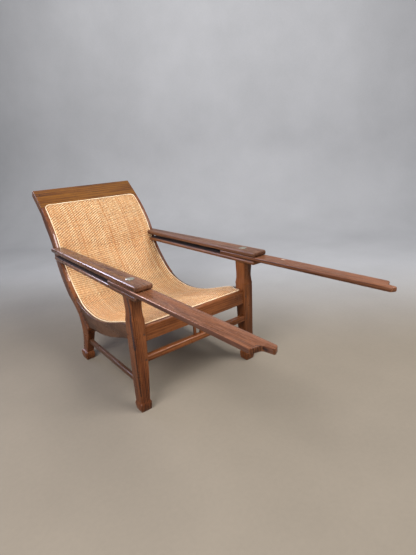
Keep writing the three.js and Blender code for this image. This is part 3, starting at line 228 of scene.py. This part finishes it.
# Backdrop: the floor turns into a wall along this level direction
WALL_DIRECTION = (0.7071, 0.7071, 0.0)
WALL_FOOT = 0.95
WALL_BLEND = 0.85
SWEEP_FRONT = -7.0
SWEEP_START = 2.6
SWEEP_RADIUS = 1.1
SWEEP_HEIGHT = 4.4
SWEEP_HALF_WIDTH = 6.5
SWEEP_STEPS = 14
CURVE_STEPS = 16

# Where the ground fades into the room's plain grey, by distance
FADE_FLOOR = (2.0, 4.6)
FADE_BEFORE_WALL = (0.6, 1.8)
FADE_FAR = (4.4, 6.4)

ROOM_COLOUR = (0.93, 0.95, 1.0, 1.0)
ROOM_LIGHT = 0.22

# Lamps: name, place, target, width and height, watts, colour, whether they light matt surfaces
LAMPS = (
    ("window_behind", (-1.1, 2.4, 2.2), (-0.3, 0.0, 0.55), (1.9, 0.9), 165, (0.76, 0.76, 1.0), False),
    ("room_left", (-2.3, -1.0, 2.4), (0.0, 0.1, 0.4), (1.8, 1.8), 112, (1.0, 0.98, 0.96), True),
    ("room_right", (1.05, -1.95, 3.1), (0.0, 0.2, 0.4), (1.8, 1.8), 124, (1.0, 0.98, 0.95), True),
    ("wall_wash", (1.2, 1.4, 3.4), (2.6, 2.6, 0.8), (4.6, 1.0), 44, (1.0, 0.99, 0.98), True),
)


def linear(red, green, blue):
    """A colour given as it looks on a screen, 0 to 255, as shader values."""
    def one(value):
        share = value / 255
        return share / 12.92 if share <= 0.04045 else ((share + 0.055) / 1.055) ** 2.4
    return (one(red), one(green), one(blue), 1.0)


def darker(colour, share):
    return tuple(value * share for value in colour)


# Shader building

class Tree:
    """Short calls for adding and joining shader nodes."""

    def __init__(self, name):
        self.material = bpy.data.materials.new(name)
        self.material.use_nodes = True
        self.nodes = self.material.node_tree.nodes
        self.links = self.material.node_tree.links
        self.shader = self.nodes["Principled BSDF"]
        self.spots = self.add("TexCoord").outputs

    def add(self, kind, **settings):
        node = self.nodes.new("ShaderNode" + kind)
        for key, value in settings.items():
            setattr(node, key, value)
        return node

    def feed(self, socket, value):
        if isinstance(value, bpy.types.NodeSocket):
            self.links.new(value, socket)
        else:
            socket.default_value = value

    def maths(self, operation, first, second):
        node = self.add("Math", operation=operation)
        self.feed(node.inputs[0], first)
        self.feed(node.inputs[1], second)
        return node.outputs[0]

    def blend(self, first, first_share, second, second_share):
        """The sum of two values, each times its share."""
        return self.maths("ADD", self.maths("MULTIPLY", first, first_share),
                          self.maths("MULTIPLY", second, second_share))

    def vectors(self, operation, first, second, output="Value"):
        node = self.add("VectorMath", operation=operation)
        self.feed(node.inputs[0], first)
        self.feed(node.inputs[1], second)
        return node.outputs[output]

    def span(self, value, low, high, to_low=0.0, to_high=1.0, smooth=False):
        node = self.add("MapRange", interpolation_type="SMOOTHSTEP" if smooth else "LINEAR")
        for i, item in enumerate((value, low, high, to_low, to_high)):
            self.feed(node.inputs[i], item)
        return node.outputs[0]

    def spread(self, noise, to_low, to_high):
        return self.span(noise, *NOISE_RANGE, to_low, to_high)

    def mix(self, share, first, second, blend_type="MIX"):
        node = self.add("Mix", data_type="RGBA", blend_type=blend_type)
        self.feed(node.inputs[0], share)
        self.feed(node.inputs[6], first)
        self.feed(node.inputs[7], second)
        return node.outputs[2]

    def scale_of(self, tone, stops, colours):
        """A scale of three colours, read at a tone."""
        node = self.add("ValToRGB")
        ramp = node.color_ramp
        ramp.elements[0].position = stops[0]
        ramp.elements[0].color = linear(*colours[0])
        ramp.elements[1].position = stops[2]
        ramp.elements[1].color = linear(*colours[2])
        ramp.elements.new(stops[1]).color = linear(*colours[1])
        self.feed(node.inputs["Fac"], tone)
        return node.outputs["Color"]

    def noise(self, vector, scale, detail, rough, distortion=0.0):
        node = self.add("TexNoise")
        self.feed(node.inputs["Vector"], vector)
        self.feed(node.inputs["Scale"], scale)
        self.feed(node.inputs["Detail"], detail)
        self.feed(node.inputs["Roughness"], rough)
        self.feed(node.inputs["Distortion"], distortion)
        return node.outputs["Fac"]

    def stretched_noise(self, vector, stretch, *settings):
        return self.noise(self.stretch(vector, stretch), *settings)

    def stretch(self, vector, scale):
        node = self.add("Mapping")
        self.links.new(vector, node.inputs["Vector"])
        node.inputs["Scale"].default_value = scale
        return node.outputs["Vector"]

    def place(self, offset=(0, 0, 0), turn=(0, 0, 0), scale=(1, 1, 1)):
        node = self.add("Mapping")
        self.links.new(self.spots["Object"], node.inputs["Vector"])
        node.inputs["Location"].default_value = offset
        node.inputs["Rotation"].default_value = turn
        node.inputs["Scale"].default_value = scale
        return node.outputs["Vector"]

    def edges(self, radius):
        """Near 1 where the surface turns within the radius, for worn arrises."""
        bevel = self.add("Bevel", samples=4)
        bevel.inputs["Radius"].default_value = radius
        flat = self.add("NewGeometry").outputs["Normal"]
        return self.span(self.vectors("DOT_PRODUCT", bevel.outputs["Normal"], flat), *TURN_RANGE, smooth=True)

    def bump(self, height, strength, distance):
        node = self.add("Bump")
        node.inputs["Strength"].default_value = strength
        node.inputs["Distance"].default_value = distance
        self.feed(node.inputs["Height"], height)
        self.feed(self.shader.inputs["Normal"], node.outputs["Normal"])


def turn_to(grain):
    """The rotation that brings a grain direction onto Z."""
    return Vector(grain).normalized().rotation_difference(Vector(UP)).to_euler("XYZ")


def random_offset(seed, reach):
    draw = random.Random(seed)
    return tuple(draw.uniform(-reach, reach) for _ in range(3))


def wood(name, grain, tones, seed, wear, rough, relief, rubbed_tone=RUBBED_TONE, top_tone=None,
         marks_and_highlights=(), shaded_faces=None):
    """Teak with long fibres, growth rings, fine dark pores and rubbed arrises, marks that include painted
    highlights, and painted shade on the faces that look one way.
    """
    tree = Tree(name)
    along = tree.place(offset=random_offset(seed, 2), turn=turn_to(grain))
    fibres = tree.stretched_noise(along, *FIBRES)
    rings = tree.add("TexWave", wave_type="RINGS", rings_direction="Z")
    tree.links.new(tree.stretch(along, RING_STRETCH), rings.inputs["Vector"])
    for key, value in RINGS.items():
        rings.inputs[key].default_value = value
    tone = tree.blend(tree.stretched_noise(along, *FIGURE), FIGURE_SHARE, fibres, FIBRE_SHARE)
    tone = tree.maths("ADD", tone, tree.maths("MULTIPLY", rings.outputs["Fac"], RING_SHARE))
    colour = tree.scale_of(tone, WOOD_STOPS, tones)
    if top_tone:
        colour = weathered_top(tree, along, colour, top_tone)
    pores = tree.span(tree.stretched_noise(along, *PORES), *PORE_RANGE)
    pore_colour = linear(*darker(tones[0], PORE_TONE))
    colour = tree.mix(tree.maths("MULTIPLY", pores, PORE_SHARE), colour, pore_colour)
    chips = tree.span(tree.noise(along, *CHIPS), *CHIP_RANGE)
    rubbed = tree.maths("MULTIPLY", tree.edges(RUB_REACH), chips)
    colour = tree.mix(tree.maths("MULTIPLY", rubbed, wear), colour, linear(*rubbed_tone))
    for mark in marks_and_highlights:
        colour = mark(tree, colour)
    roughness = tree.spread(tree.noise(along, *WAX), rough - SMOOTHER, rough + ROUGHER)
    # Painted shade: faces that look the given way are darkened, and made rougher
    if shaded_faces:
        facing, share = shaded_faces
        faces = tree.vectors("DOT_PRODUCT", tree.spots["Normal"], facing)
        shade_share = tree.span(faces, *FACING_RANGE, 0.0, share)
        colour = tree.mix(shade_share, colour, linear(*PAINTED_SHADE_TONE))
        roughness = tree.maths("MAXIMUM", roughness, shade_share)
    tree.feed(tree.shader.inputs["Base Color"], colour)
    tree.feed(tree.shader.inputs["Roughness"], roughness)
    tree.shader.inputs["Specular IOR Level"].default_value = WOOD_SHINE
    tree.bump(tree.maths("SUBTRACT", tree.maths("MULTIPLY", fibres, 0.5), pores), relief, GRAIN_DEPTH)
    return tree.material


def weathered_top(tree, along, colour, top_tone):
    """Grey flecks in patches, on the faces that look up."""
    normal = tree.add("SeparateXYZ")
    tree.links.new(tree.spots["Normal"], normal.inputs[0])
    upward = tree.span(normal.outputs["Z"], *UPWARD_RANGE, smooth=True)
    patches = tree.spread(tree.stretched_noise(along, *PATCHES), *PATCH_SHARES)
    flecks = tree.span(tree.stretched_noise(along, *FLECKS), *FLECK_RANGE)
    greyed = tree.mix(tree.maths("MULTIPLY", flecks, FLECK_SHARE), colour, linear(*top_tone))
    return tree.mix(tree.maths("MULTIPLY", upward, patches), colour, greyed)


def line_mark(start, end, radius, colour, share, ragged=0.6, fine=260.0):
    """A stain, split or painted highlight within a radius of the line between two points, with a ragged edge.
    """
    run = Vector(end) - Vector(start)
    length = run.length
    heading = run / length

    def put(tree, under):
        at = tree.spots["Object"]
        away = tree.vectors("SUBTRACT", at, start, "Vector")
        along = tree.vectors("DOT_PRODUCT", away, heading)
        held = tree.maths("MINIMUM", tree.maths("MAXIMUM", along, 0.0), length)
        foot = tree.add("VectorMath", operation="SCALE")
        foot.inputs[0].default_value = heading
        tree.links.new(held, foot.inputs["Scale"])
        gap = tree.vectors("DISTANCE", away, foot.outputs[0])
        rough_edge = tree.spread(tree.noise(at, fine, *MARK_EDGE), 1 - ragged, 1 + ragged)
        nearness = tree.maths("DIVIDE", gap, tree.maths("MULTIPLY", rough_edge, radius))
        return tree.mix(tree.span(nearness, *MARK_RANGE, share, 0.0), under, linear(*colour))
    return put


def end_grain(name, dark, light, seed):
    """Short peg ends with a fine speckle."""
    tree = Tree(name)
    at = tree.place(offset=random_offset(seed, 1))
    speckle = tree.noise(at, *PEG_SPECKLE)
    share = tree.blend(speckle, 0.6, tree.noise(at, *PEG_BLOTCH), 0.4)
    colour = tree.mix(tree.span(share, *SPECKLE_RANGE), linear(*dark), linear(*light))
    tree.feed(tree.shader.inputs["Base Color"], colour)
    tree.shader.inputs["Roughness"].default_value = 0.6
    tree.bump(speckle, 0.3, SPECKLE_DEPTH)
    return tree.material


def cane(name, tones, seed, stretch):
    """Split cane: glossy bark, honey coloured, its tone changing from strand to strand."""
    tree = Tree(name)
    strand = tree.add("Attribute", attribute_name="strand").outputs["Fac"]
    fibre = tree.noise(tree.place(offset=(seed, 0.0, 0.0), scale=stretch), *CANE_FIBRE)
    blotch = tree.noise(tree.place(offset=(0.0, seed, 0.0)), *CANE_BLOTCH)
    mottle = tree.noise(tree.place(offset=(0.0, 0.0, seed)), *CANE_MOTTLE)
    tone = tree.maths("ADD", strand, tree.blend(fibre, 0.3, blotch, 0.3))
    tone = tree.maths("ADD", tone, tree.spread(mottle, -0.1, 0.1))
    tree.feed(tree.shader.inputs["Base Color"], tree.scale_of(tone, CANE_STOPS, tones))
    tree.feed(tree.shader.inputs["Roughness"], tree.spread(fibre, 0.3, 0.46))
    tree.shader.inputs["Specular IOR Level"].default_value = CANE_SHINE
    tree.bump(fibre, 0.15, FIBRE_DEPTH)
    return tree.material


def metal(name, colour, seed):
    """Dull steel: fine hammering and a dark film in the low places."""
    tree = Tree(name)
    at = tree.place(offset=(seed, seed, 0.0))
    dents = tree.noise(at, *DENTS)
    film = tree.noise(at, *FILM)
    bright = tree.span(tree.blend(dents, 0.5, film, 0.5), *BRIGHT_RANGE)
    tree.feed(tree.shader.inputs["Base Color"],
              tree.mix(bright, linear(*darker(colour, 0.55)), linear(*colour)))
    tree.shader.inputs["Metallic"].default_value = 0.85
    tree.feed(tree.shader.inputs["Roughness"], tree.spread(film, 0.34, 0.5))
    tree.bump(dents, 0.3, DENT_DEPTH)
    return tree.material


# Making pieces

def link(name, mesh):
    piece = bpy.data.objects.new(name, mesh)
    bpy.context.scene.collection.objects.link(piece)
    return piece


def body_of(node):
    return NODES[node]["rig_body"]


def dress(node, material, round_by, angle=EDGE_ANGLE, segments=2):
    """The node's own form with its arrises rounded, in place of the node."""
    mesh = NODES[node].data.copy()
    mesh.name = node + "_form"
    work = bmesh.new()
    work.from_mesh(mesh)
    bmesh.ops.remove_doubles(work, verts=work.verts, dist=WELD)
    bmesh.ops.dissolve_limit(work, angle_limit=FLAT_ANGLE, verts=work.verts, edges=work.edges)
    for face in work.faces:
        face.smooth = True
    work.to_mesh(mesh)
    work.free()
    mesh.materials.clear()
    mesh.materials.append(material)
    piece = link(node + "_shown", mesh)
    bevel = piece.modifiers.new("arrises", "BEVEL")
    bevel.width = round_by
    bevel.segments = segments
    bevel.limit_method = "ANGLE"
    bevel.angle_limit = angle
    bevel.harden_normals = True
    bevel.miter_outer = "MITER_ARC"
    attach(piece, body_of(node))
    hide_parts(node)


# Wooden pieces

# Stains, splits and knots, where the photographed chair has them, and highlights painted on worn places
MARKS_AND_HIGHLIGHTS = {
    "back_leg_left": [
        # Pale patches on the left stile by the arm: rubbed wear, with the stile's highlight painted in
        line_mark((-0.2875, 0.580, 0.453), (-0.2885, 0.545, 0.403), 0.0034, (232, 206, 196), 0.75, 0.7),
        line_mark((-0.2905, 0.640, 0.572), (-0.2885, 0.672, 0.640), 0.003, (222, 200, 200), 0.6, 0.8)],
    "front_leg_left": [
        line_mark((-0.3185, -0.197, 0.515), (-0.3195, -0.2055, 0.30), 0.0084, (44, 31, 36), 0.95),
        line_mark((-0.3195, -0.2055, 0.30), (-0.3195, -0.205, 0.08), 0.0034, (32, 20, 18), 0.9)],
    "leg_rest_left": [
        # A pale line along the left top arris: polished wear, with its highlight painted in
        line_mark((-0.3295, -0.255, 0.5545), (-0.3318, -0.869, 0.5612), 0.0022, (226, 180, 164), 0.7, 0.35),
        line_mark((-0.296, -0.449, 0.5565), (-0.303, -0.506, 0.557), 0.010, (104, 62, 42), 0.5, 0.8, 120.0),
        line_mark((-0.303, -0.470, 0.5567), (-0.311, -0.510, 0.557), 0.0026, (150, 104, 80), 0.5),
        line_mark((-0.312, -0.598, 0.558), (-0.3185, -0.662, 0.5588), 0.0016, (140, 96, 72), 0.5),
        line_mark((-0.309, -0.640, 0.5585), (-0.300, -0.700, 0.559), 0.0014, (58, 32, 22), 0.6),
        line_mark((-0.308, -0.868, 0.5612), (-0.297, -0.882, 0.5612), 0.0022, (44, 26, 20), 0.85),
        line_mark((-0.297, -0.882, 0.5540), (-0.284, -0.912, 0.5500), 0.0024, (34, 20, 16), 0.85)],
    "leg_rest_right": [
        line_mark((0.3146, -0.405, 0.556), (0.3146, -0.417, 0.556), 0.0045, (206, 178, 160), 0.7)],
    "arm_upper_left": [
        line_mark((-0.280, -0.268, 0.5775), (-0.284, -0.296, 0.5757), 0.0016, (44, 28, 24), 0.7)],
    "crest_rail": [
        line_mark((-0.2717, 0.855, 0.8323), (-0.2717, 0.856, 0.8323), 0.0045, (46, 24, 14), 0.8)],
}

# Painted shade: the arms' slot faces and the leg rests' outer sides are darkened where light doesn't reach
# them. The direction a shaded face looks, and how far it is darkened
SLOT_SHADE = 0.92
SIDE_SHADE = 0.5
PAINTED_SHADE = {
    "arm_lower_left": (UP, SLOT_SHADE),
    "arm_lower_right": (UP, SLOT_SHADE),
    "arm_upper_left": (DOWN, SLOT_SHADE),
    "arm_upper_right": (DOWN, SLOT_SHADE),
    "leg_rest_left": (TO_LEFT, SIDE_SHADE),
    "leg_rest_right": (TO_RIGHT, SIDE_SHADE),
}

# Node, direction of its grain, colours, colour of its weathered top. The order sets each figure
WOOD_PIECES = [
    ("front_leg_left", UP, FRAME_TONES, None),
    ("front_leg_right", UP, RAIL_TONES, None),
    ("back_leg_left", BACK_LEG_GRAIN, FRAME_TONES, None),
    ("back_leg_right", BACK_LEG_GRAIN, FRAME_TONES, None),
    ("side_rail_left", ALONG_Y, SIDE_TONES, None),
    ("side_rail_right", ALONG_Y, SIDE_TONES, None),
    ("front_rail", ALONG_X, RAIL_TONES, None),
    ("crest_rail", ALONG_X, CREST_TONES, None),
    ("back_rail", ALONG_X, FRAME_TONES, None),
    ("front_stretcher", ALONG_X, RAIL_TONES, None),
    ("side_stretcher_left", ALONG_Y, SIDE_TONES, None),
    ("side_stretcher_right", ALONG_Y, SIDE_TONES, None),
    ("centre_slat_left", UP, FRAME_TONES, None),
    ("centre_slat_right", UP, FRAME_TONES, None),
    ("arm_upper_left", ALONG_Y, ARM_TONES, ARM_TOP_TONE),
    ("arm_upper_right", ALONG_Y, ARM_TONES, ARM_TOP_TONE),
    ("arm_lower_left", ALONG_Y, ARM_TONES, None),
    # The right lower board takes the lit copy of the arm tones
    ("arm_lower_right", ALONG_Y, LIT_ARM_BOARD_TONES, None),
    ("leg_rest_left", ALONG_Y, REST_TONES, REST_TOP_TONE),
    ("leg_rest_right", ALONG_Y, REST_TONES, REST_TOP_TONE),
]


def dress_wood():
    for seed, (node, grain, tones, top_tone) in enumerate(WOOD_PIECES):
        in_arm = node.startswith("arm_")
        slot, round_by, wear, rough, relief = WORN if in_arm or node.startswith("leg_rest") else WAXED
        material = wood(f"wood_{node}", grain, tones, seed, wear, DULLER.get(node, rough), relief,
                        top_tone=top_tone, marks_and_highlights=MARKS_AND_HIGHLIGHTS.get(node, ()), shaded_faces=PAINTED_SHADE.get(node))
        dress(node, material, round_by, ARM_EDGE_ANGLE if in_arm else EDGE_ANGLE)


def dress_small():
    pins = metal("pin_steel", PIN_TONE, 3.0)
    reed = wood("reed", ALONG_Y, REED_TONES, seed=77, wear=0.2, rough=0.3, relief=0.35,
                rubbed_tone=REED_RUBBED_TONE)
    for side in ("left", "right"):
        dress(f"pivot_pin_{side}", pins, SMALL_ROUND, PIN_EDGE_ANGLE, segments=3)
    dress("reed_spline", reed, SMALL_ROUND, REED_EDGE_ANGLE)
    pegs = end_grain("peg_end", *PEG_TONES, seed=5)
    for node in sorted(NODES):
        if node.startswith("peg_"):
            dress(node, pegs, PEG_ROUND)


# The cane's curved surface, read from the panel it replaces

def lengths_along(points):
    return np.r_[0, np.cumsum(np.hypot(*np.diff(points, axis=0).T))]


def seat_profile():
    """The length to each of many points (y, z) along the panel's upper face, smoothed."""
    panel = NODES["cane_panel"]
    tree = BVHTree.FromObject(panel, bpy.context.evaluated_depsgraph_get())
    low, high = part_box("cane_panel")
    points = []
    for y in np.linspace(low.y + PROFILE_INSET, high.y - PROFILE_INSET, PROFILE_STEPS):
        hit = tree.ray_cast(Vector((0.0, y, high.z + CLEAR_ABOVE)), Vector(DOWN))[0]
        if hit is not None:
            points.append((hit.y, hit.z))
    points = np.array(points)
    lengths = lengths_along(points)
    even = np.linspace(0, lengths[-1], PROFILE_STEPS)
    points = np.stack([np.interp(even, lengths, points[:, k]) for k in range(2)], 1)
    reach = int(SMOOTH_REACH / (even[1] - even[0]) / 2)
    weights = np.hanning(2 * reach + 3)[1:-1]
    weights /= weights.sum()
    first, last = points[0] * 2, points[-1] * 2
    padded = np.r_[first - points[reach:0:-1], points, last - points[-2:-reach - 2:-1]]
    smooth = np.stack([np.convolve(padded[:, k], weights, "valid") for k in range(2)], 1)
    return lengths_along(smooth), smooth


LENGTHS, PROFILE = seat_profile()
SEAT_LENGTH = float(LENGTHS[-1])
RUNS = np.gradient(PROFILE, axis=0)
RUNS /= np.hypot(*RUNS.T)[:, None]


def seat_half_widths():
    """Half the panel's width at lengths along it."""
    pairs = {}
    for vertex in NODES["cane_panel"].data.vertices:
        x, y, z = vertex.co
        if x > 0:
            nearest = int(np.argmin((PROFILE[:, 0] - y) ** 2 + (PROFILE[:, 1] - z) ** 2))
            key = round(float(LENGTHS[nearest]), 3)
            pairs[key] = max(pairs.get(key, 0.0), x)
    return np.array(sorted(pairs.items()))


HALF_WIDTHS = seat_half_widths()


def half_width(at):
    return np.interp(at, HALF_WIDTHS[:, 0], HALF_WIDTHS[:, 1])


def on_seat(x, at, above):
    """Points for arrays of x, length along the seat, and height over the panel's upper face."""
    y = np.interp(at, LENGTHS, PROFILE[:, 0])
    z = np.interp(at, LENGTHS, PROFILE[:, 1])
    run_y = np.interp(at, LENGTHS, RUNS[:, 0])
    run_z = np.interp(at, LENGTHS, RUNS[:, 1])
    across = np.clip(np.abs(x) / np.maximum(half_width(at), 0.001), 0, 1)
    ends = np.clip(np.minimum(at, SEAT_LENGTH - at) / SAG_EASE, 0, 1)
    lift = above - SAG * (1 - across ** 2) * ends * ends * (3 - 2 * ends)
    return np.stack([x, y - lift * run_z, z + lift * run_y], -1)


# Weaving

CENTRE_WARP = round(DIAMOND_ACROSS / WARP_PITCH)
CENTRE_WEFT = round(DIAMOND_ALONG / WEFT_PITCH)
END_WEFT = round(DIAMOND_END / WEFT_PITCH)


def warp_over(i, j):
    """Whether warp strand i passes over weft strand j: a twill, reversed about a centre."""
    in_back = j >= END_WEFT
    rise = np.where((i < CENTRE_WARP) & in_back, CENTRE_WARP - i, i - CENTRE_WARP)
    turn = np.where(in_back, np.abs(j - CENTRE_WEFT), CENTRE_WEFT - j)
    return (rise + turn) % (2 * FLOAT) < FLOAT


def height_where(over):
    return SHEET_MIDDLE + np.where(over, STRAND_RISE, -STRAND_RISE)


def seam_tone(x, at):
    """Tone added where a discoloured strand runs up the sheet."""
    tone = np.zeros(len(x))
    for seam_x, low, high, change in SEAMS:
        near = (np.abs(x - seam_x) < WARP_PITCH / 2) & (at > low) & (at < high)
        tone[near] += change
    return tone


def ribbon_mesh(name, strands, width, runs_along, seed):
    """Closed flat strands with crowned tops. Each strand is arrays x, at and above."""
    draw = random.Random(seed)
    order = (3, 2, 1, 0) if runs_along else (0, 1, 2, 3)
    vertices, faces, tones = [], [], []
    for x, at, above in strands:
        count = len(x)
        half = width / 2 * (1 + WIDTH_SPREAD * math.sin(draw.uniform(0, math.tau)))
        tone = draw.uniform(0, TONE_SPREAD)
        base = len(vertices)
        side_x, side_at = (half, 0.0) if runs_along else (0.0, half)
        rows = [
            on_seat(x - side_x, at - side_at, above),
            on_seat(x, at, above + STRAND_CROWN),
            on_seat(x + side_x, at + side_at, above),
            on_seat(x, at, above - STRAND_THICKNESS),
        ]
        vertices.extend(np.stack(rows, 1).reshape(-1, 3).tolist())
        shades = tone + seam_tone(x, at) if runs_along else np.full(count, tone)
        tones.extend(np.repeat(shades, len(rows)).tolist())
        for k in range(count - 1):
            near, far = base + 4 * k, base + 4 * k + 4
            for a in range(4):
                b = (a + 1) % 4
                faces.append((near + order[a], near + order[b], far + order[b], far + order[a]))
        faces.append([base + order[a] for a in (3, 2, 1, 0)])
        faces.append([base + 4 * (count - 1) + order[a] for a in range(4)])
    mesh = bpy.data.meshes.new(name)
    mesh.from_pydata(vertices, [], faces)
    mesh.attributes.new("strand", "FLOAT", "POINT").data.foreach_set("value", np.array(tones, np.float32))
    mesh.polygons.foreach_set("use_smooth", [True] * len(mesh.polygons))
    return mesh


def warp_strands(warps, at_rows):
    """Strands from front to crest, every second one in each set."""
    sets = [[], []]
    rows = np.arange(len(at_rows))
    for i in range(-warps, warps + 1):
        x = i * WARP_PITCH
        keep = half_width(at_rows) - WARP_WIDTH / 2 > abs(x)
        if keep.sum() >= FEWEST_CROSSINGS:
            at = at_rows[keep]
            sets[i % 2].append((np.full(len(at), x), at, height_where(warp_over(i, rows[keep]))))
    return sets


def weft_strands(warps, at_rows):
    """Strands from side to side, every second one in each set."""
    sets = [[], []]
    columns = np.arange(-warps, warps + 1)
    for j, at in enumerate(at_rows):
        inside = half_width(at)
        i = columns[np.abs(columns * WARP_PITCH) < inside - WARP_PITCH * WEFT_MARGIN]
        above = height_where(~warp_over(i, np.full(len(i), j)))
        x = np.r_[-inside, i * WARP_PITCH, inside]
        above = np.r_[above[0], above, above[-1]]
        sets[j % 2].append((x, np.full(len(x), at), above))
    return sets


def weave():
    """The cane sheet, in four pieces: two sets of warps and two of wefts."""
    warps = int(float(HALF_WIDTHS[:, 1].max()) // WARP_PITCH)
    at_rows = np.arange(WEFT_PITCH / 2, SEAT_LENGTH, WEFT_PITCH)
    for word, sets, width, tones, stretch, seed, strand_seeds in (
            ("warp", warp_strands(warps, at_rows), WARP_WIDTH, LIT_WARP_TONES, WARP_STRETCH, 4.0, (17, 23)),
            ("weft", weft_strands(warps, at_rows), WEFT_WIDTH, SHADED_WEFT_TONES, WEFT_STRETCH, 6.0, (27, 33))):
        material = cane(f"cane_{word}", tones, seed, stretch)
        for k, strands in enumerate(sets):
            mesh = ribbon_mesh(f"cane_{word}_{k}", strands, width, word == "warp", strand_seeds[k])
            mesh.materials.append(material)
            piece = link(f"cane_{word}_{'ab'[k]}", mesh)
            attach(piece, body_of("cane_panel"))
    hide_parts("cane_panel")


# Stage

def ground_material():
    """Pale canvas: warm on the floor, greyer on the wall, fading out far from the chair."""
    tree = Tree("ground")
    at = tree.place()
    away = tree.vectors("DOT_PRODUCT", at, WALL_DIRECTION)
    share = tree.span(away, WALL_FOOT - WALL_BLEND, WALL_FOOT + WALL_BLEND, smooth=True)
    cloud = tree.spread(tree.noise(at, *CLOUD), 0.93, 1.04)
    grit = tree.spread(tree.noise(at, *GRIT), -0.02, 0.02)
    colour = tree.mix(share, linear(*FLOOR_TONE), linear(*WALL_TONE))
    colour = tree.mix(1.0, colour, tree.maths("ADD", cloud, grit), "MULTIPLY")
    tree.feed(tree.shader.inputs["Base Color"], colour)
    tree.shader.inputs["Roughness"].default_value = 0.85
    tree.shader.inputs["Specular IOR Level"].default_value = 0.2
    reach = tree.vectors("DISTANCE", tree.stretch(at, (1, 1, 0)), (0, 0, 0))
    fade = tree.span(reach, *FADE_FLOOR, smooth=True)
    fade = tree.maths("MULTIPLY", fade, tree.span(away, *FADE_BEFORE_WALL, 1.0, 0.0, smooth=True))
    fade = tree.maths("MAXIMUM", fade, tree.span(reach, *FADE_FAR, smooth=True))
    join = tree.add("MixShader")
    tree.feed(join.inputs[0], fade)
    tree.links.new(tree.shader.outputs[0], join.inputs[1])
    tree.links.new(tree.add("BsdfTransparent").outputs[0], join.inputs[2])
    tree.links.new(join.outputs[0], tree.nodes["Material Output"].inputs["Surface"])
    return tree.material


def sweep():
    """Floor that curves up into a wall far behind the chair."""
    forward = Vector(WALL_DIRECTION)
    side = Vector((forward.y, -forward.x, 0))
    rows = [(depth, 0.0) for depth in np.linspace(SWEEP_FRONT, SWEEP_START, SWEEP_STEPS)]
    for k in range(1, CURVE_STEPS + 1):
        angle = k / CURVE_STEPS * math.pi / 2
        rows.append((SWEEP_START + SWEEP_RADIUS * math.sin(angle), SWEEP_RADIUS * (1 - math.cos(angle))))
    rows.append((SWEEP_START + SWEEP_RADIUS, SWEEP_HEIGHT))
    across = np.linspace(-SWEEP_HALF_WIDTH, SWEEP_HALF_WIDTH, SWEEP_STEPS)
    vertices = [tuple(forward * depth + side * offset + Vector((0, 0, height)))
                for depth, height in rows for offset in across]
    faces = []
    for r in range(len(rows) - 1):
        for c in range(len(across) - 1):
            a = r * len(across) + c
            faces.append((a, a + 1, a + len(across) + 1, a + len(across)))
    mesh = bpy.data.meshes.new("ground")
    mesh.from_pydata(vertices, [], faces)
    mesh.polygons.foreach_set("use_smooth", [True] * len(mesh.polygons))
    mesh.materials.append(ground_material())
    link("ground", mesh)


def lamp(name, place, target, size, power, colour, on_matt):
    """A soft rectangular lamp, not itself seen by the camera."""
    light = bpy.data.lights.new(name, "AREA")
    light.shape = "RECTANGLE"
    light.size, light.size_y = size
    light.energy = power
    light.color = colour
    thing = link(name, light)
    thing.location = place
    thing.rotation_euler = (Vector(target) - Vector(place)).to_track_quat("-Z", "Y").to_euler()
    thing.visible_camera = False
    thing.visible_diffuse = on_matt


def lights():
    world = bpy.data.worlds.new("room")
    world.use_nodes = True
    background = world.node_tree.nodes["Background"]
    background.inputs["Color"].default_value = ROOM_COLOUR
    background.inputs["Strength"].default_value = ROOM_LIGHT
    bpy.context.scene.world = world
    for settings in LAMPS:
        lamp(*settings)


def camera():
    data = bpy.data.cameras.new("camera")
    data.sensor_width = SENSOR
    data.sensor_fit = "AUTO"
    data.lens = FOCAL_PIXELS * SENSOR / max(FRAME_WIDTH, FRAME_HEIGHT)
    data.clip_start, data.clip_end = CAMERA_REACH
    thing = link("camera", data)
    forward = Vector((math.sin(CAMERA_YAW) * math.cos(CAMERA_PITCH),
                      math.cos(CAMERA_YAW) * math.cos(CAMERA_PITCH), -math.sin(CAMERA_PITCH)))
    right = Vector((math.cos(CAMERA_YAW), -math.sin(CAMERA_YAW), 0.0))
    up = right.cross(forward)
    rolled_right = right * math.cos(CAMERA_ROLL) + up * math.sin(CAMERA_ROLL)
    rolled_up = up * math.cos(CAMERA_ROLL) - right * math.sin(CAMERA_ROLL)
    basis = Matrix((rolled_right, rolled_up, -forward)).transposed()
    thing.matrix_world = Matrix.Translation(CAMERA_PLACE) @ basis.to_4x4()
    bpy.context.scene.camera = thing


camera()
dress_wood()
dress_small()
weave()
sweep()
lights()
bpy.context.scene.view_settings.view_transform = "Standard"
